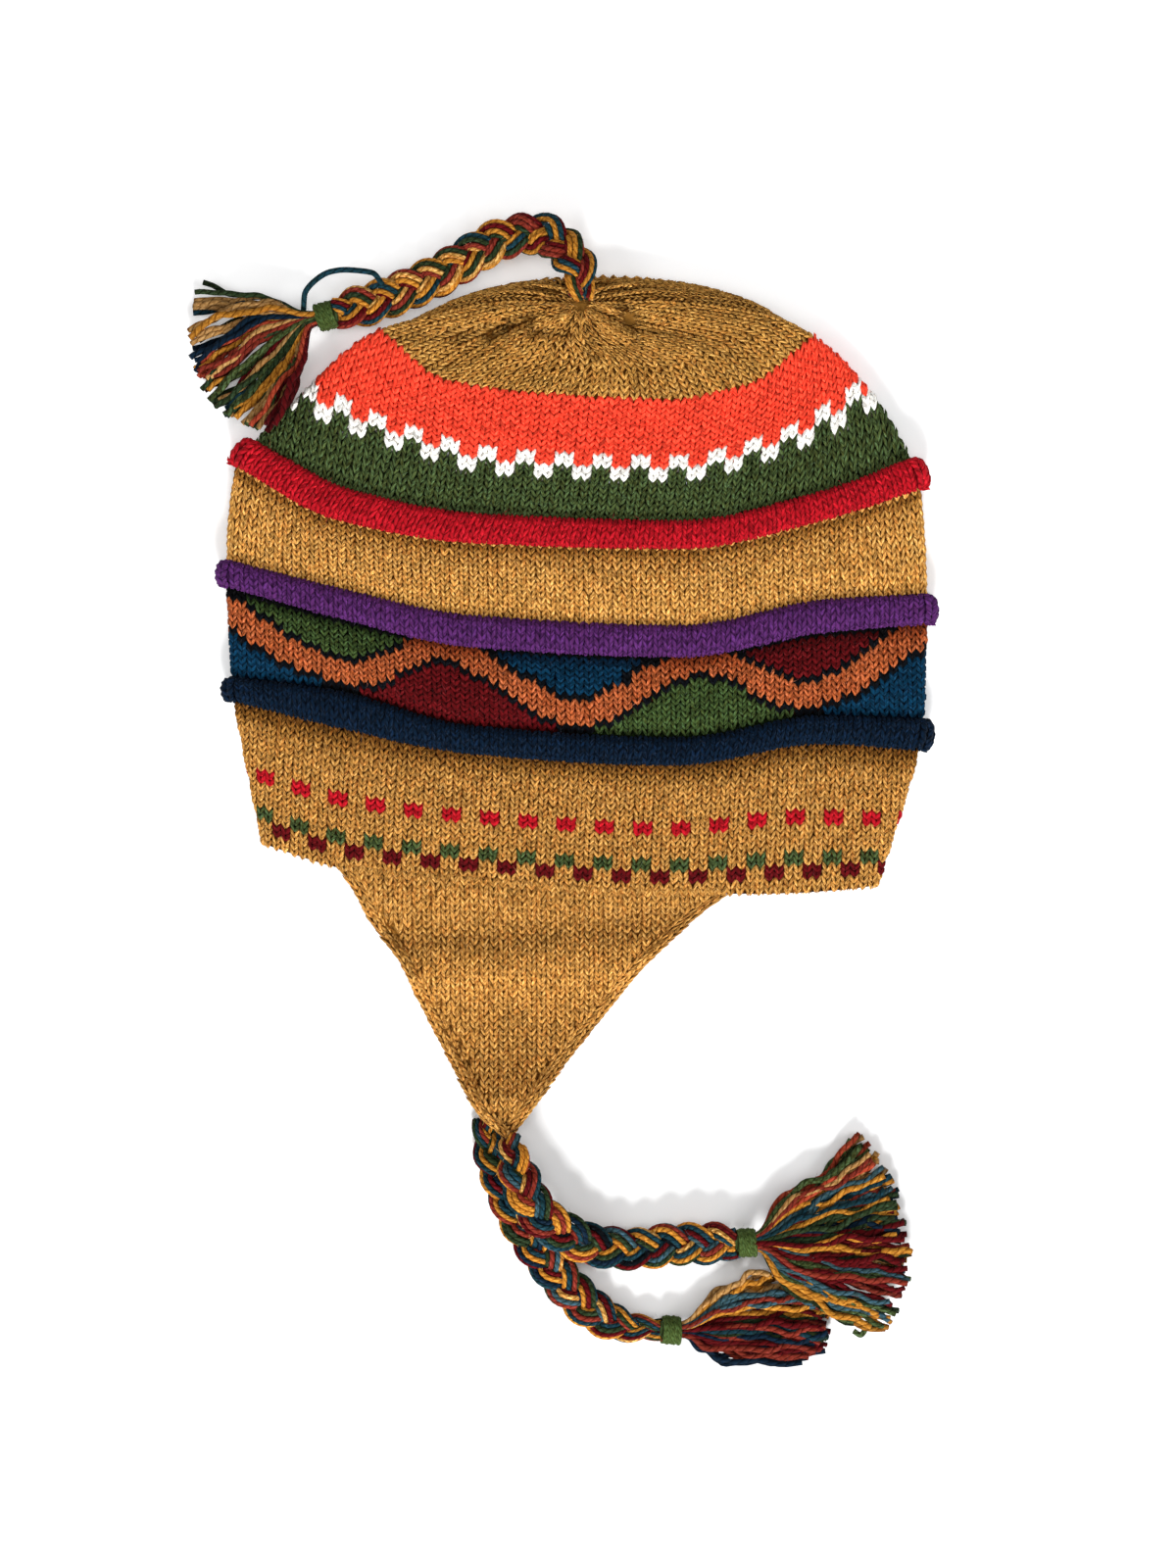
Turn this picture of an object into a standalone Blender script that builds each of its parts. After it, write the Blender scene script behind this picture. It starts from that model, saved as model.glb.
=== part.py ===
"""A knitted chullo hat that lies flat, one ear flap over the other.

The hat rests on the XY plane. +Z is up, +Y points to the crown, and the middle of the hat is the origin.
All lengths are in metres. A row share runs from 0 at the brim to 1 at the gathered top, and a turn runs
once round the hat: 0 at the left fold, 0.25 at the middle of the upper layer, 0.5 at the right fold and
0.75 at the middle of the lower layer.
"""

from math import copysign, cos, pi, radians, sin

import bmesh
import bpy
import numpy as np
from mathutils import Vector

# Driving dimensions
HAT_WIDTH = 0.2270
CROWN_HEIGHT = 0.2007
FLAP_LENGTH = 0.0787
BODY_HEIGHT = 0.0136
KNIT_THICKNESS = 0.0022
GAP = 0.0003
PLEAT_HEIGHT = 0.0010
WELT_THICKNESS = 0.0038
WELT_PRESSED_THICKNESS = 0.0024
FLAP_TIP_LIFT = 0.0050
FAR_FLAP_INSET = 0.0012
FAR_FLAP_SHORTER = 0.0054
BRAID_DIAMETER = 0.0115
TIE_LENGTH = 0.0060
TIE_DIAMETER = 0.0096
LOCK_DIAMETER = 0.0072

# Counts
SHELL_TURNS = 48
SHELL_ROW_STEP = 0.045
PLEATS = 12
FLAP_ROWS = 14
FLAP_COLUMNS = 8
BRAID_POINT_SPACING = 0.0065

# Places that follow from the sizes
HALF_WIDTH = HAT_WIDTH / 2
CROWN_TOP_Y = (CROWN_HEIGHT + FLAP_LENGTH) / 2
BRIM_Y = CROWN_TOP_Y - CROWN_HEIGHT
UNDER_LIFT = WELT_PRESSED_THICKNESS + GAP

# One row for each fold or seam line of the body. x: shares of HALF_WIDTH. y: shares of CROWN_HEIGHT above
# BRIM_Y, at six places across the upper layer and at the middle of the lower one. top and fold: shares of
# BODY_HEIGHT, the height of the upper layer and of the lower one where it turns over at the crown.
SECTION_COLUMNS = ("row", "left_x", "right_x", "left_y", "outer_left_y", "inner_left_y", "inner_right_y",
                   "outer_right_y", "right_y", "far_y", "top", "fold")
SECTIONS = (
    (0.000, -0.902, 0.863, 0.079, 0.036, 0.017, -0.002, 0.002, 0.011, 0.011, 0.92, 0.00),
    (0.230, -0.980, 0.978, 0.310, 0.271, 0.229, 0.210, 0.242, 0.231, 0.233, 0.98, 0.00),
    (0.277, -0.989, 0.994, 0.354, 0.332, 0.274, 0.256, 0.291, 0.286, 0.280, 0.99, 0.00),
    (0.411, -1.000, 1.000, 0.495, 0.448, 0.400, 0.384, 0.422, 0.434, 0.415, 1.00, 0.00),
    (0.465, -1.000, 1.000, 0.544, 0.500, 0.453, 0.437, 0.478, 0.489, 0.470, 1.00, 0.00),
    (0.588, -0.975, 0.983, 0.690, 0.603, 0.566, 0.557, 0.600, 0.652, 0.589, 1.00, 0.00),
    (0.639, -0.913, 0.950, 0.734, 0.655, 0.616, 0.606, 0.649, 0.707, 0.644, 1.00, 0.00),
    (0.713, -0.807, 0.852, 0.797, 0.739, 0.687, 0.676, 0.723, 0.802, 0.723, 0.97, 0.00),
    (0.833, -0.580, 0.690, 0.908, 0.824, 0.802, 0.790, 0.815, 0.897, 0.889, 0.92, 0.00),
    (0.892, -0.415, 0.564, 0.937, 0.881, 0.854, 0.851, 0.886, 0.934, 1.000, 0.85, 0.42),
    (0.940, -0.192, 0.228, 0.959, 0.918, 0.899, 0.899, 0.918, 0.959, 0.987, 0.80, 0.70),
    (0.972, -0.066, 0.088, 0.957, 0.940, 0.929, 0.929, 0.940, 0.957, 0.975, 0.78, 0.74),
    (1.000, -0.018, 0.038, 0.956, 0.948, 0.941, 0.941, 0.948, 0.956, 0.964, 0.74, 0.74),
)
ACROSS = (-1.0, -0.7, -0.3, 0.3, 0.7, 1.0)
FLAT_ROWS_END = 0.833
RING_ROWS_START = 0.940
LIFT_STARTS = (0.08, 0.19)
LIFT_ENDS = (0.67, 0.80)

# Welts: the row shares of the lower and upper edge of each
WELT_ROWS = {"navy_welt": (0.230, 0.277), "purple_welt": (0.411, 0.465), "red_welt": (0.588, 0.639)}
# Outline of a welt's section: share of the way from its lower edge to its upper edge, share of its thickness
WELT_SECTION = ((0.10, 0.0), (1.0, 0.0), (0.95, 0.4), (0.60, 1.0), (0.15, 1.0), (0.0, 0.5))

# Ear flap: share of FLAP_LENGTH down from the brim, and its two edges as shares of HALF_WIDTH
FLAP_EDGES = (
    (0.000, -0.678, 0.432),
    (0.059, -0.642, 0.373),
    (0.173, -0.594, 0.284),
    (0.306, -0.513, 0.191),
    (0.498, -0.443, 0.085),
    (0.714, -0.362, -0.033),
    (0.914, -0.281, -0.136),
    (1.000, -0.219, -0.181),
)
FLAP_DESCENT_END = 0.55
FLAP_TIP_LIFT_STARTS = 0.70
FLAP_TIP_LIFT_ENDS = 0.90

# Routes of the three braids, chosen by hand, from the hat to the tie
CROWN_ROUTE = (
    (0.0012, 0.1316, 0.0147), (0.0014, 0.1381, 0.0160), (-0.0046, 0.1483, 0.0126), (-0.0125, 0.1534, 0.0090),
    (-0.0227, 0.1521, 0.0068), (-0.0329, 0.1473, 0.0062), (-0.0430, 0.1410, 0.0060),
    (-0.0532, 0.1362, 0.0060), (-0.0624, 0.1325, 0.0060), (-0.0703, 0.1300, 0.0060),
    (-0.0786, 0.1276, 0.0062),
)
NEAR_ROUTE = (
    (-0.0220, -0.1401, 0.0110), (-0.0215, -0.1436, 0.0134), (-0.0200, -0.1473, 0.0156),
    (-0.0174, -0.1553, 0.0176), (-0.0116, -0.1645, 0.0168), (-0.0024, -0.1714, 0.0122),
    (0.0078, -0.1756, 0.0082), (0.0198, -0.1765, 0.0072), (0.0300, -0.1749, 0.0078),
    (0.0402, -0.1746, 0.0087), (0.0520, -0.1743, 0.0090),
)
FAR_ROUTE = (
    (-0.0300, -0.1346, 0.0036), (-0.0288, -0.1413, 0.0042), (-0.0258, -0.1492, 0.0055),
    (-0.0204, -0.1635, 0.0060), (-0.0132, -0.1756, 0.0060), (-0.0065, -0.1848, 0.0060),
    (-0.0002, -0.1918, 0.0060), (0.0068, -0.1978, 0.0060), (0.0160, -0.2019, 0.0060),
    (0.0276, -0.2028, 0.0060),
)
BRAID_ROOT_SHARE = 0.56
BRAID_END_SHARE = 0.82
BRAID_ROOT_LENGTH = 0.016
BRAID_END_LENGTH = 0.008

# Tassels: first and last direction of the fan in degrees, locks, length, height of the first and last tip,
# and the two directions between which the height changes
TASSEL_COLUMNS = ("first", "last", "locks", "length", "first_height", "last_height", "turn_from", "turn_to")
TASSELS = {
    "crown_tassel": (155.0, 259.0, 9, 0.0425, 0.0038, 0.0175, 236.0, 252.0),
    "near_tassel": (55.0, -41.0, 9, 0.0490, 0.0038, 0.0122, 12.0, -10.0),
    "far_tassel": (25.0, -21.0, 6, 0.0460, 0.0038, 0.0038, 0.0, -20.0),
}
LOCK_RISE_END = 0.30
BUNDLE_END = 0.35
GROOVE_SHARE = 0.45
# Shares of the length: rings where the locks are still joined, then share, width and thickness of parted ones
JOINED_RINGS = (0.0, 0.12, 0.28, 0.45, 0.62)
PARTED_RINGS = ((0.82, 0.80, 1.0), (1.0, 0.55, 0.75))
LOCK_TIP = 1.03
LOCK_LENGTHS = (1.0, 0.93, 0.97)

COLOURS = {
    "gold_knit": (0.50, 0.27, 0.07),
    "red_knit": (0.55, 0.02, 0.04),
    "purple_knit": (0.13, 0.03, 0.17),
    "navy_knit": (0.01, 0.05, 0.12),
    "braided_yarn": (0.30, 0.17, 0.08),
    "green_yarn": (0.08, 0.13, 0.03),
    "tassel_yarn": (0.32, 0.12, 0.06),
}
ROUGHNESS = 0.85
COLLECTION_NAME = "chullo_hat"


def clear_scene():
    """Remove every object of the scene."""
    for item in list(bpy.data.objects):
        bpy.data.objects.remove(item, do_unlink=True)


def blend(low, high, value):
    """Rise smoothly from 0 at low to 1 at high."""
    share = min(1.0, max(0.0, (value - low) / (high - low)))
    return share * share * (3 - 2 * share)


def smooth(places, values, at):
    """Read a smooth curve through the values at their places, with no overshoot between them."""
    places = np.asarray(places, dtype=float)
    values = np.asarray(values, dtype=float)
    steps = np.diff(places)
    slopes = np.diff(values, axis=0) / steps.reshape((-1,) + (1,) * (values.ndim - 1))
    tangents = np.zeros_like(values)
    tangents[0] = slopes[0]
    tangents[-1] = slopes[-1]
    before = slopes[:-1]
    after = slopes[1:]
    same_way = before * after > 0
    product = np.where(same_way, before * after, 0.0)
    total = np.where(same_way, before + after, 1.0)
    tangents[1:-1] = 2 * product / total
    index = int(np.clip(np.searchsorted(places, at) - 1, 0, len(steps) - 1))
    step = steps[index]
    share = min(1.0, max(0.0, (at - places[index]) / step))
    square = share * share
    cube = square * share
    return ((2 * cube - 3 * square + 1) * values[index] + (cube - 2 * square + share) * step * tangents[index]
            + (3 * square - 2 * cube) * values[index + 1] + (cube - square) * step * tangents[index + 1])


def section(row):
    """Interpolate the table of sections at a row share, by column name."""
    table = np.asarray(SECTIONS)
    return dict(zip(SECTION_COLUMNS, smooth(table[:, 0], table, row)))


def under_lift(row):
    """Height of the lower layer, which the pressed welts below it lift off the ground."""
    return UNDER_LIFT * blend(*LIFT_STARTS, row) * (1 - blend(*LIFT_ENDS, row))


def upper_edge_y(line, across):
    """Y of a section's line on the upper layer, at a place across from -1 to 1."""
    shares = [line[name] for name in SECTION_COLUMNS[3:9]]
    return BRIM_Y + CROWN_HEIGHT * float(smooth(ACROSS, shares, across))


def hat_point(row, turn):
    """A point of the body's outer surface."""
    line = section(row)
    angle = 2 * pi * (turn % 1.0)
    body = 1 - blend(FLAT_ROWS_END, RING_ROWS_START, row)
    power = 1 - body / 3
    across = -copysign(abs(cos(angle)) ** power, cos(angle))
    rise = abs(sin(angle))
    half = HALF_WIDTH * (line["right_x"] - line["left_x"]) / 2
    x = HALF_WIDTH * (line["right_x"] + line["left_x"]) / 2 + half * across
    top = BODY_HEIGHT * line["top"]
    bottom = BODY_HEIGHT * line["fold"] + under_lift(row)
    side = (top + bottom) / 2
    pleat = PLEAT_HEIGHT * cos(2 * pi * PLEATS * turn) * blend(0.80, 0.90, row) * (1 - blend(0.97, 1.0, row))
    if sin(angle) >= 0:
        y = upper_edge_y(line, across)
        z = side + (top - side) * rise ** power + pleat * rise
    else:
        ends = line["left_y"] + (line["right_y"] - line["left_y"]) * (across + 1) / 2
        middle = (line["left_y"] + line["right_y"]) / 2
        y = BRIM_Y + CROWN_HEIGHT * (ends + (line["far_y"] - middle) * rise ** (1 + body))
        z = side + (bottom - side) * min(1.0, 1.15 * rise ** (0.6 * power))
        z += pleat * rise * blend(0.92, 0.94, row)
    return Vector((x, y, z))


def hat_normal(row, turn):
    """Direction out of the body's outer surface."""
    step = 0.002
    along = hat_point(row + step, turn) - hat_point(row - step, turn)
    round_the_hat = hat_point(row, turn + step) - hat_point(row, turn - step)
    return round_the_hat.cross(along).normalized()


def add_object(name, mesh, material_name, collection):
    """Put a mesh in the collection as a named object with its own material."""
    body = bpy.data.objects.new(name, mesh)
    collection.objects.link(body)
    material = bpy.data.materials.new(f"{name}_{material_name}")
    material.use_nodes = True
    shader = material.node_tree.nodes["Principled BSDF"]
    shader.inputs["Base Color"].default_value = (*COLOURS[material_name], 1.0)
    shader.inputs["Roughness"].default_value = ROUGHNESS
    shader.inputs["Metallic"].default_value = 0.0
    mesh.materials.clear()
    mesh.materials.append(material)
    mesh.shade_smooth()
    mesh.set_sharp_from_angle(angle=radians(50))
    return body


def loft(name, rings, closed_round, closed_along=False, centre=None):
    """Make a mesh through rings of points, each as long as the next."""
    count = len(rings[0])
    points = [point for ring in rings for point in ring]
    faces = []
    pairs = [(index, index + 1) for index in range(len(rings) - 1)]
    if closed_along:
        pairs.append((len(rings) - 1, 0))
    columns = count if closed_round else count - 1
    for lower, upper in pairs:
        for column in range(columns):
            following = (column + 1) % count
            faces.append((lower * count + column, lower * count + following,
                          upper * count + following, upper * count + column))
    if centre is not None:
        points.append(centre)
        start = (len(rings) - 1) * count
        for column in range(count):
            faces.append((start + column, start + (column + 1) % count, len(points) - 1))
    mesh = bpy.data.meshes.new(name)
    mesh.from_pydata([tuple(point) for point in points], [], faces)
    mesh.update()
    return mesh


def add_thickness(body, thickness):
    """Give an open surface its wall, inwards from the side its faces look to."""
    solidify = body.modifiers.new("wall", "SOLIDIFY")
    solidify.thickness = thickness
    solidify.offset = -1.0
    solidify.use_rim = True


def shell_rows():
    """Row shares of the shell's rings: every line of the table of sections, and even steps between them."""
    lines = [line[0] for line in SECTIONS]
    rows = [lines[0]]
    for lower, upper in zip(lines, lines[1:]):
        steps = max(1, round((upper - lower) / SHELL_ROW_STEP))
        rows += [lower + (upper - lower) * (step + 1) / steps for step in range(steps)]
    return rows


def build_crown_shell(collection):
    """The knitted body: a flattened cup, open at the brim and gathered at the top."""
    rings = [[hat_point(row, index / SHELL_TURNS) for index in range(SHELL_TURNS)] for row in shell_rows()]
    centre = sum(rings[-1], Vector()) / SHELL_TURNS
    mesh = loft("crown_shell", rings, closed_round=True, centre=centre)
    shell = add_object("crown_shell", mesh, "gold_knit", collection)
    add_thickness(shell, KNIT_THICKNESS)


def welt_thickness(turn):
    """Thickness of a welt: full on the upper layer, pressed flat under the lower one."""
    height = sin(2 * pi * turn)
    share = blend(-0.5, 0.5, height)
    return WELT_PRESSED_THICKNESS + (WELT_THICKNESS - WELT_PRESSED_THICKNESS) * share


def build_welt(name, material_name, collection):
    """One raised tuck, swept right round the body and just clear of it."""
    lower, upper = WELT_ROWS[name]
    rings = []
    for index in range(SHELL_TURNS):
        turn = index / SHELL_TURNS
        ring = []
        for across, out in WELT_SECTION:
            row = lower + (upper - lower) * across
            offset = GAP + welt_thickness(turn) * out
            ring.append(hat_point(row, turn) + hat_normal(row, turn) * offset)
        rings.append(ring)
    mesh = loft(name, rings, closed_round=True, closed_along=True)
    add_object(name, mesh, material_name, collection)


def build_flap(name, near, collection):
    """One ear flap, from the edge of its own layer at the brim down to its tip."""
    line = section(0.0)
    brim_middle = HALF_WIDTH * (line["right_x"] + line["left_x"]) / 2
    brim_half = HALF_WIDTH * (line["right_x"] - line["left_x"]) / 2
    edges = np.asarray(FLAP_EDGES)
    inset = 0.0 if near else FAR_FLAP_INSET
    length = FLAP_LENGTH if near else FLAP_LENGTH - FAR_FLAP_SHORTER
    top = BODY_HEIGHT * line["top"]
    rest = 2 * (KNIT_THICKNESS + GAP)
    rows = []
    for row_index in range(FLAP_ROWS):
        down = row_index / (FLAP_ROWS - 1)
        _, left, right = smooth(edges[:, 0], edges, down)
        left = HALF_WIDTH * left + inset
        right = HALF_WIDTH * right - inset * (1 - down)
        row = []
        for column in range(FLAP_COLUMNS):
            x = left + (right - left) * column / (FLAP_COLUMNS - 1)
            across = (x - brim_middle) / brim_half
            if near:
                brim_y = upper_edge_y(line, across)
                brim_z = top / 2 + top / 2 * (1 - abs(across) ** 3) ** (1 / 3)
                z = brim_z + (rest - brim_z) * blend(0.0, FLAP_DESCENT_END, down)
                z += FLAP_TIP_LIFT * blend(FLAP_TIP_LIFT_STARTS, FLAP_TIP_LIFT_ENDS, down)
            else:
                ends = line["left_y"] + (line["right_y"] - line["left_y"]) * (across + 1) / 2
                middle = (line["left_y"] + line["right_y"]) / 2
                brim_y = BRIM_Y + CROWN_HEIGHT * (ends + (line["far_y"] - middle) * (1 - abs(across) ** 3))
                z = KNIT_THICKNESS
            y = BRIM_Y - down * length + (brim_y - GAP - BRIM_Y) * (1 - down) ** 2
            row.append(Vector((x, y, z)))
        rows.append(row)
    mesh = loft(name, list(reversed(rows)), closed_round=False)
    flap = add_object(name, mesh, "gold_knit", collection)
    add_thickness(flap, KNIT_THICKNESS)


def curve_points(route, spacing):
    """Points at an even spacing on a smooth curve through a route."""
    points = np.asarray(route)
    distance = np.concatenate(([0.0], np.cumsum(np.linalg.norm(np.diff(points, axis=0), axis=1))))
    fine = np.array([smooth(distance, points, at) for at in np.linspace(0.0, distance[-1], 400)])
    travelled = np.concatenate(([0.0], np.cumsum(np.linalg.norm(np.diff(fine, axis=0), axis=1))))
    count = max(4, round(travelled[-1] / spacing) + 1)
    stops = np.linspace(0.0, travelled[-1], count)
    return [Vector([np.interp(stop, travelled, fine[:, axis]) for axis in range(3)]) for stop in stops]


def tube(name, points, radii, resolution):
    """A curve object through points, with a radius at each and closed ends."""
    curve = bpy.data.curves.new(name, "CURVE")
    curve.dimensions = "3D"
    curve.bevel_depth = 1.0
    curve.bevel_resolution = resolution
    curve.use_fill_caps = True
    spline = curve.splines.new("POLY")
    spline.points.add(len(points) - 1)
    for target, point, radius in zip(spline.points, points, radii):
        target.co = (*point, 1.0)
        target.radius = radius
    return bpy.data.objects.new(name, curve)


def mesh_of(item, collection):
    """A mesh copy of a curve object, with its end caps welded on."""
    collection.objects.link(item)
    evaluated = item.evaluated_get(bpy.context.evaluated_depsgraph_get())
    mesh = bpy.data.meshes.new_from_object(evaluated)
    work = bmesh.new()
    work.from_mesh(mesh)
    bmesh.ops.remove_doubles(work, verts=work.verts, dist=0.00001)
    bmesh.ops.recalc_face_normals(work, faces=work.faces)
    work.to_mesh(mesh)
    work.free()
    copy = bpy.data.objects.new(item.name + "_mesh", mesh)
    copy.matrix_world = item.matrix_world
    bpy.data.objects.remove(item, do_unlink=True)
    return copy


def build_braid(name, route, collection):
    """One braid as a tube that is thinner at its root and where the tie draws it in."""
    points = curve_points(route, BRAID_POINT_SPACING)
    radii = []
    for index, _ in enumerate(points):
        from_root = index * BRAID_POINT_SPACING
        from_end = (len(points) - 1 - index) * BRAID_POINT_SPACING
        root = BRAID_ROOT_SHARE + (1 - BRAID_ROOT_SHARE) * blend(0.0, BRAID_ROOT_LENGTH, from_root)
        end = BRAID_END_SHARE + (1 - BRAID_END_SHARE) * blend(0.0, BRAID_END_LENGTH, from_end)
        radii.append(BRAID_DIAMETER / 2 * min(root, end))
    curve_object = tube(name, points, radii, 2)
    curve_object.name = name + "_curve"
    solid = mesh_of(curve_object, collection)
    solid.name = name
    mesh = solid.data
    bpy.data.objects.remove(solid, do_unlink=True)
    add_object(name, mesh, "braided_yarn", collection)
    return points[-1], (points[-1] - points[-2]).normalized()


def build_tie(name, end, direction, collection):
    """The wound yarn between a braid's end and its tassel."""
    work = bmesh.new()
    bmesh.ops.create_cone(work, cap_ends=True, segments=14, radius1=TIE_DIAMETER / 2,
                          radius2=TIE_DIAMETER / 2, depth=TIE_LENGTH)
    mesh = bpy.data.meshes.new(name)
    work.to_mesh(mesh)
    work.free()
    tie = add_object(name, mesh, "green_yarn", collection)
    tie.location = end + direction * (GAP + TIE_LENGTH / 2)
    tie.rotation_mode = "QUATERNION"
    tie.rotation_quaternion = direction.to_track_quat("Z", "Y")
    bevel = tie.modifiers.new("worn_edge", "BEVEL")
    bevel.width = 0.0008
    bevel.segments = 1
    return end + direction * (2 * GAP + TIE_LENGTH)


def fan_station(values, start, side, across, along, length):
    """Centre of a tassel's section at a share across its fan and a share along its length."""
    degrees = values["first"] + (values["last"] - values["first"]) * across
    way = Vector((cos(radians(degrees)), sin(radians(degrees)), 0.0))
    turned = (degrees - values["turn_from"]) / (values["turn_to"] - values["turn_from"])
    tip_height = values["first_height"] + (values["last_height"] - values["first_height"]) * blend(0, 1, turned)
    packed = side * (TIE_DIAMETER / 2 * (2 * across - 1) * (1 - min(1.0, along)))
    point = start + packed + way * (length * along)
    point.z = start.z + (tip_height - start.z) * blend(0.0, LOCK_RISE_END, along)
    return point


def half_thickness(station, across, along):
    """Half of the fan's thickness: a round bundle at the tie, then ridges with grooves between the locks."""
    bundle = TIE_DIAMETER / 2 * max(0.15, 1 - (2 * across - 1) ** 2) ** 0.5
    lock = LOCK_DIAMETER / 2 * (GROOVE_SHARE if station % 3 == 0 else 1.0)
    return bundle + (lock - bundle) * blend(0.0, BUNDLE_END, along)


def build_tassel(name, start, direction, collection):
    """The loose ends: a round bundle that spreads into a fan and parts into locks."""
    values = dict(zip(TASSEL_COLUMNS, TASSELS[name]))
    locks = values["locks"]
    side = Vector((0, 0, 1)).cross(direction).normalized()
    if values["first"] > values["last"]:
        side = -side
    stations = 3 * locks + 1
    work = bmesh.new()

    def add_ring(numbers, along, centre, squeeze, thin, length):
        upper = []
        lower = []
        for station in numbers:
            across = station / (stations - 1)
            across = centre + (across - centre) * squeeze
            point = fan_station(values, start, side, across, along, length)
            rise = Vector((0, 0, half_thickness(station, across, along) * thin))
            upper.append(work.verts.new(point + rise))
            lower.append(work.verts.new(point - rise))
        return upper + lower[::-1]

    def add_skin(first, second):
        for index, corner in enumerate(first):
            following = (index + 1) % len(first)
            work.faces.new((corner, first[following], second[following], second[index]))

    rings = [add_ring(range(stations), along, 0.5, 1.0, 1.0, values["length"]) for along in JOINED_RINGS]
    work.faces.new(rings[0])
    for first, second in zip(rings, rings[1:]):
        add_skin(first, second)
    joined = rings[-1]
    for lock in range(locks):
        numbers = range(3 * lock, 3 * lock + 4)
        centre = (lock + 0.5) / locks
        length = values["length"] * LOCK_LENGTHS[lock % len(LOCK_LENGTHS)]
        previous = [joined[number] for number in numbers]
        previous += [joined[2 * stations - 1 - number] for number in reversed(numbers)]
        for along, squeeze, thin in PARTED_RINGS:
            ring = add_ring(numbers, along, centre, squeeze, thin, length)
            add_skin(previous, ring)
            previous = ring
        tip = work.verts.new(fan_station(values, start, side, centre, LOCK_TIP, length))
        for index, corner in enumerate(previous):
            work.faces.new((corner, previous[(index + 1) % len(previous)], tip))
    bmesh.ops.recalc_face_normals(work, faces=work.faces)
    mesh = bpy.data.meshes.new(name)
    work.to_mesh(mesh)
    work.free()
    add_object(name, mesh, "tassel_yarn", collection)


def build_cord(place, route, collection):
    """A braid with its tie and its tassel."""
    end, direction = build_braid(f"{place}_braid", route, collection)
    start = build_tie(f"{place}_tie", end, direction, collection)
    build_tassel(f"{place}_tassel", start, direction, collection)


def main():
    """Build the whole hat."""
    clear_scene()
    collection = bpy.data.collections.new(COLLECTION_NAME)
    bpy.context.scene.collection.children.link(collection)
    build_crown_shell(collection)
    build_welt("navy_welt", "navy_knit", collection)
    build_welt("purple_welt", "purple_knit", collection)
    build_welt("red_welt", "red_knit", collection)
    build_flap("ear_flap_near", True, collection)
    build_flap("ear_flap_far", False, collection)
    build_cord("crown", CROWN_ROUTE, collection)
    build_cord("near", NEAR_ROUTE, collection)
    build_cord("far", FAR_ROUTE, collection)


main()
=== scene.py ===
"""The looks of a knitted chullo hat: every stitch, braid, wound tie and tassel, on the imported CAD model.

The hat lies flat on the XY plane. +Z is up, +Y points to the crown, and all lengths are in metres.
A row share runs from 0 at the brim to 1 at the gathered top. A turn runs once round the hat: 0 at the left
fold, 0.25 at the middle of the upper layer, 0.5 at the right fold and 0.75 at the middle of the lower layer.
A round share runs the same way, but evenly along each layer, as columns of stitches do.
"""

import logging
from dataclasses import dataclass, field
from enum import Enum
from math import pi, tau
from typing import Callable, Sequence

import bpy
import numpy as np
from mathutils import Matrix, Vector


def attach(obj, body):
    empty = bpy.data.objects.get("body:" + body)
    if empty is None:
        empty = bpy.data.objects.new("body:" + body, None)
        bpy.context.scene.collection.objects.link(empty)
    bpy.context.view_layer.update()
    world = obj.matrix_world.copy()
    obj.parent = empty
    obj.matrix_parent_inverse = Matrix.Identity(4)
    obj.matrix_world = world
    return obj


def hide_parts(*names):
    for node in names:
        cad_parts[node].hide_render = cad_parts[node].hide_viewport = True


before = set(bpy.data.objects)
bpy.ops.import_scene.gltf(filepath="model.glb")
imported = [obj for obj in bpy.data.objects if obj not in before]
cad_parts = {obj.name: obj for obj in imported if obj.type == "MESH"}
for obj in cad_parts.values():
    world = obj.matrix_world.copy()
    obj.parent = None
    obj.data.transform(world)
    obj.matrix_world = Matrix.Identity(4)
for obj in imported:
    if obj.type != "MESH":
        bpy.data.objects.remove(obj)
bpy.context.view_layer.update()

LOG = logging.getLogger("chullo_hat")
Array = np.ndarray
Point = tuple[float, float, float]
Faces = tuple[Array, Array]
Random = np.random.Generator
Socket = bpy.types.NodeSocket
Node = bpy.types.Node
NodeTree = bpy.types.NodeTree
Material = bpy.types.Material
BODY = "root"
UV_NAME = "yarn"
TONE_NAME = "yarn_tone"
UP = np.array((0.0, 0.0, 1.0))
# Places along a yarn are in millimetres in its coordinates
MILLIMETRES = 1000

# Sizes that follow the CAD model
HAT_WIDTH = 0.2270
CROWN_HEIGHT = 0.2007
FLAP_LENGTH = 0.0787
BODY_HEIGHT = 0.0136
KNIT_THICKNESS = 0.0022
GAP = 0.0003
PLEAT_HEIGHT = 0.0010
WELT_THICKNESS = 0.0038
WELT_PRESSED_THICKNESS = 0.0024
FLAP_TIP_LIFT = 0.0050
FAR_FLAP_INSET = 0.0012
FAR_FLAP_SHORTER = 0.0054
TIE_LENGTH = 0.0060
HALF_WIDTH = HAT_WIDTH / 2
BRIM_Y = (CROWN_HEIGHT + FLAP_LENGTH) / 2 - CROWN_HEIGHT
UNDER_LIFT = WELT_PRESSED_THICKNESS + GAP
PLEATS = 12
PLEAT_STARTS = (0.80, 0.90)
PLEAT_ENDS = (0.97, 1.0)
FAR_PLEAT_STARTS = (0.92, 0.94)
# How full the lower layer's section is, and the share of the section's power that it takes
UNDER_FULLNESS = 1.15
UNDER_POWER = 0.6
# How far behind the outer surface the cloth lies that the stitches stand on
CLOTH_DEPTH = 0.0010

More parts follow.
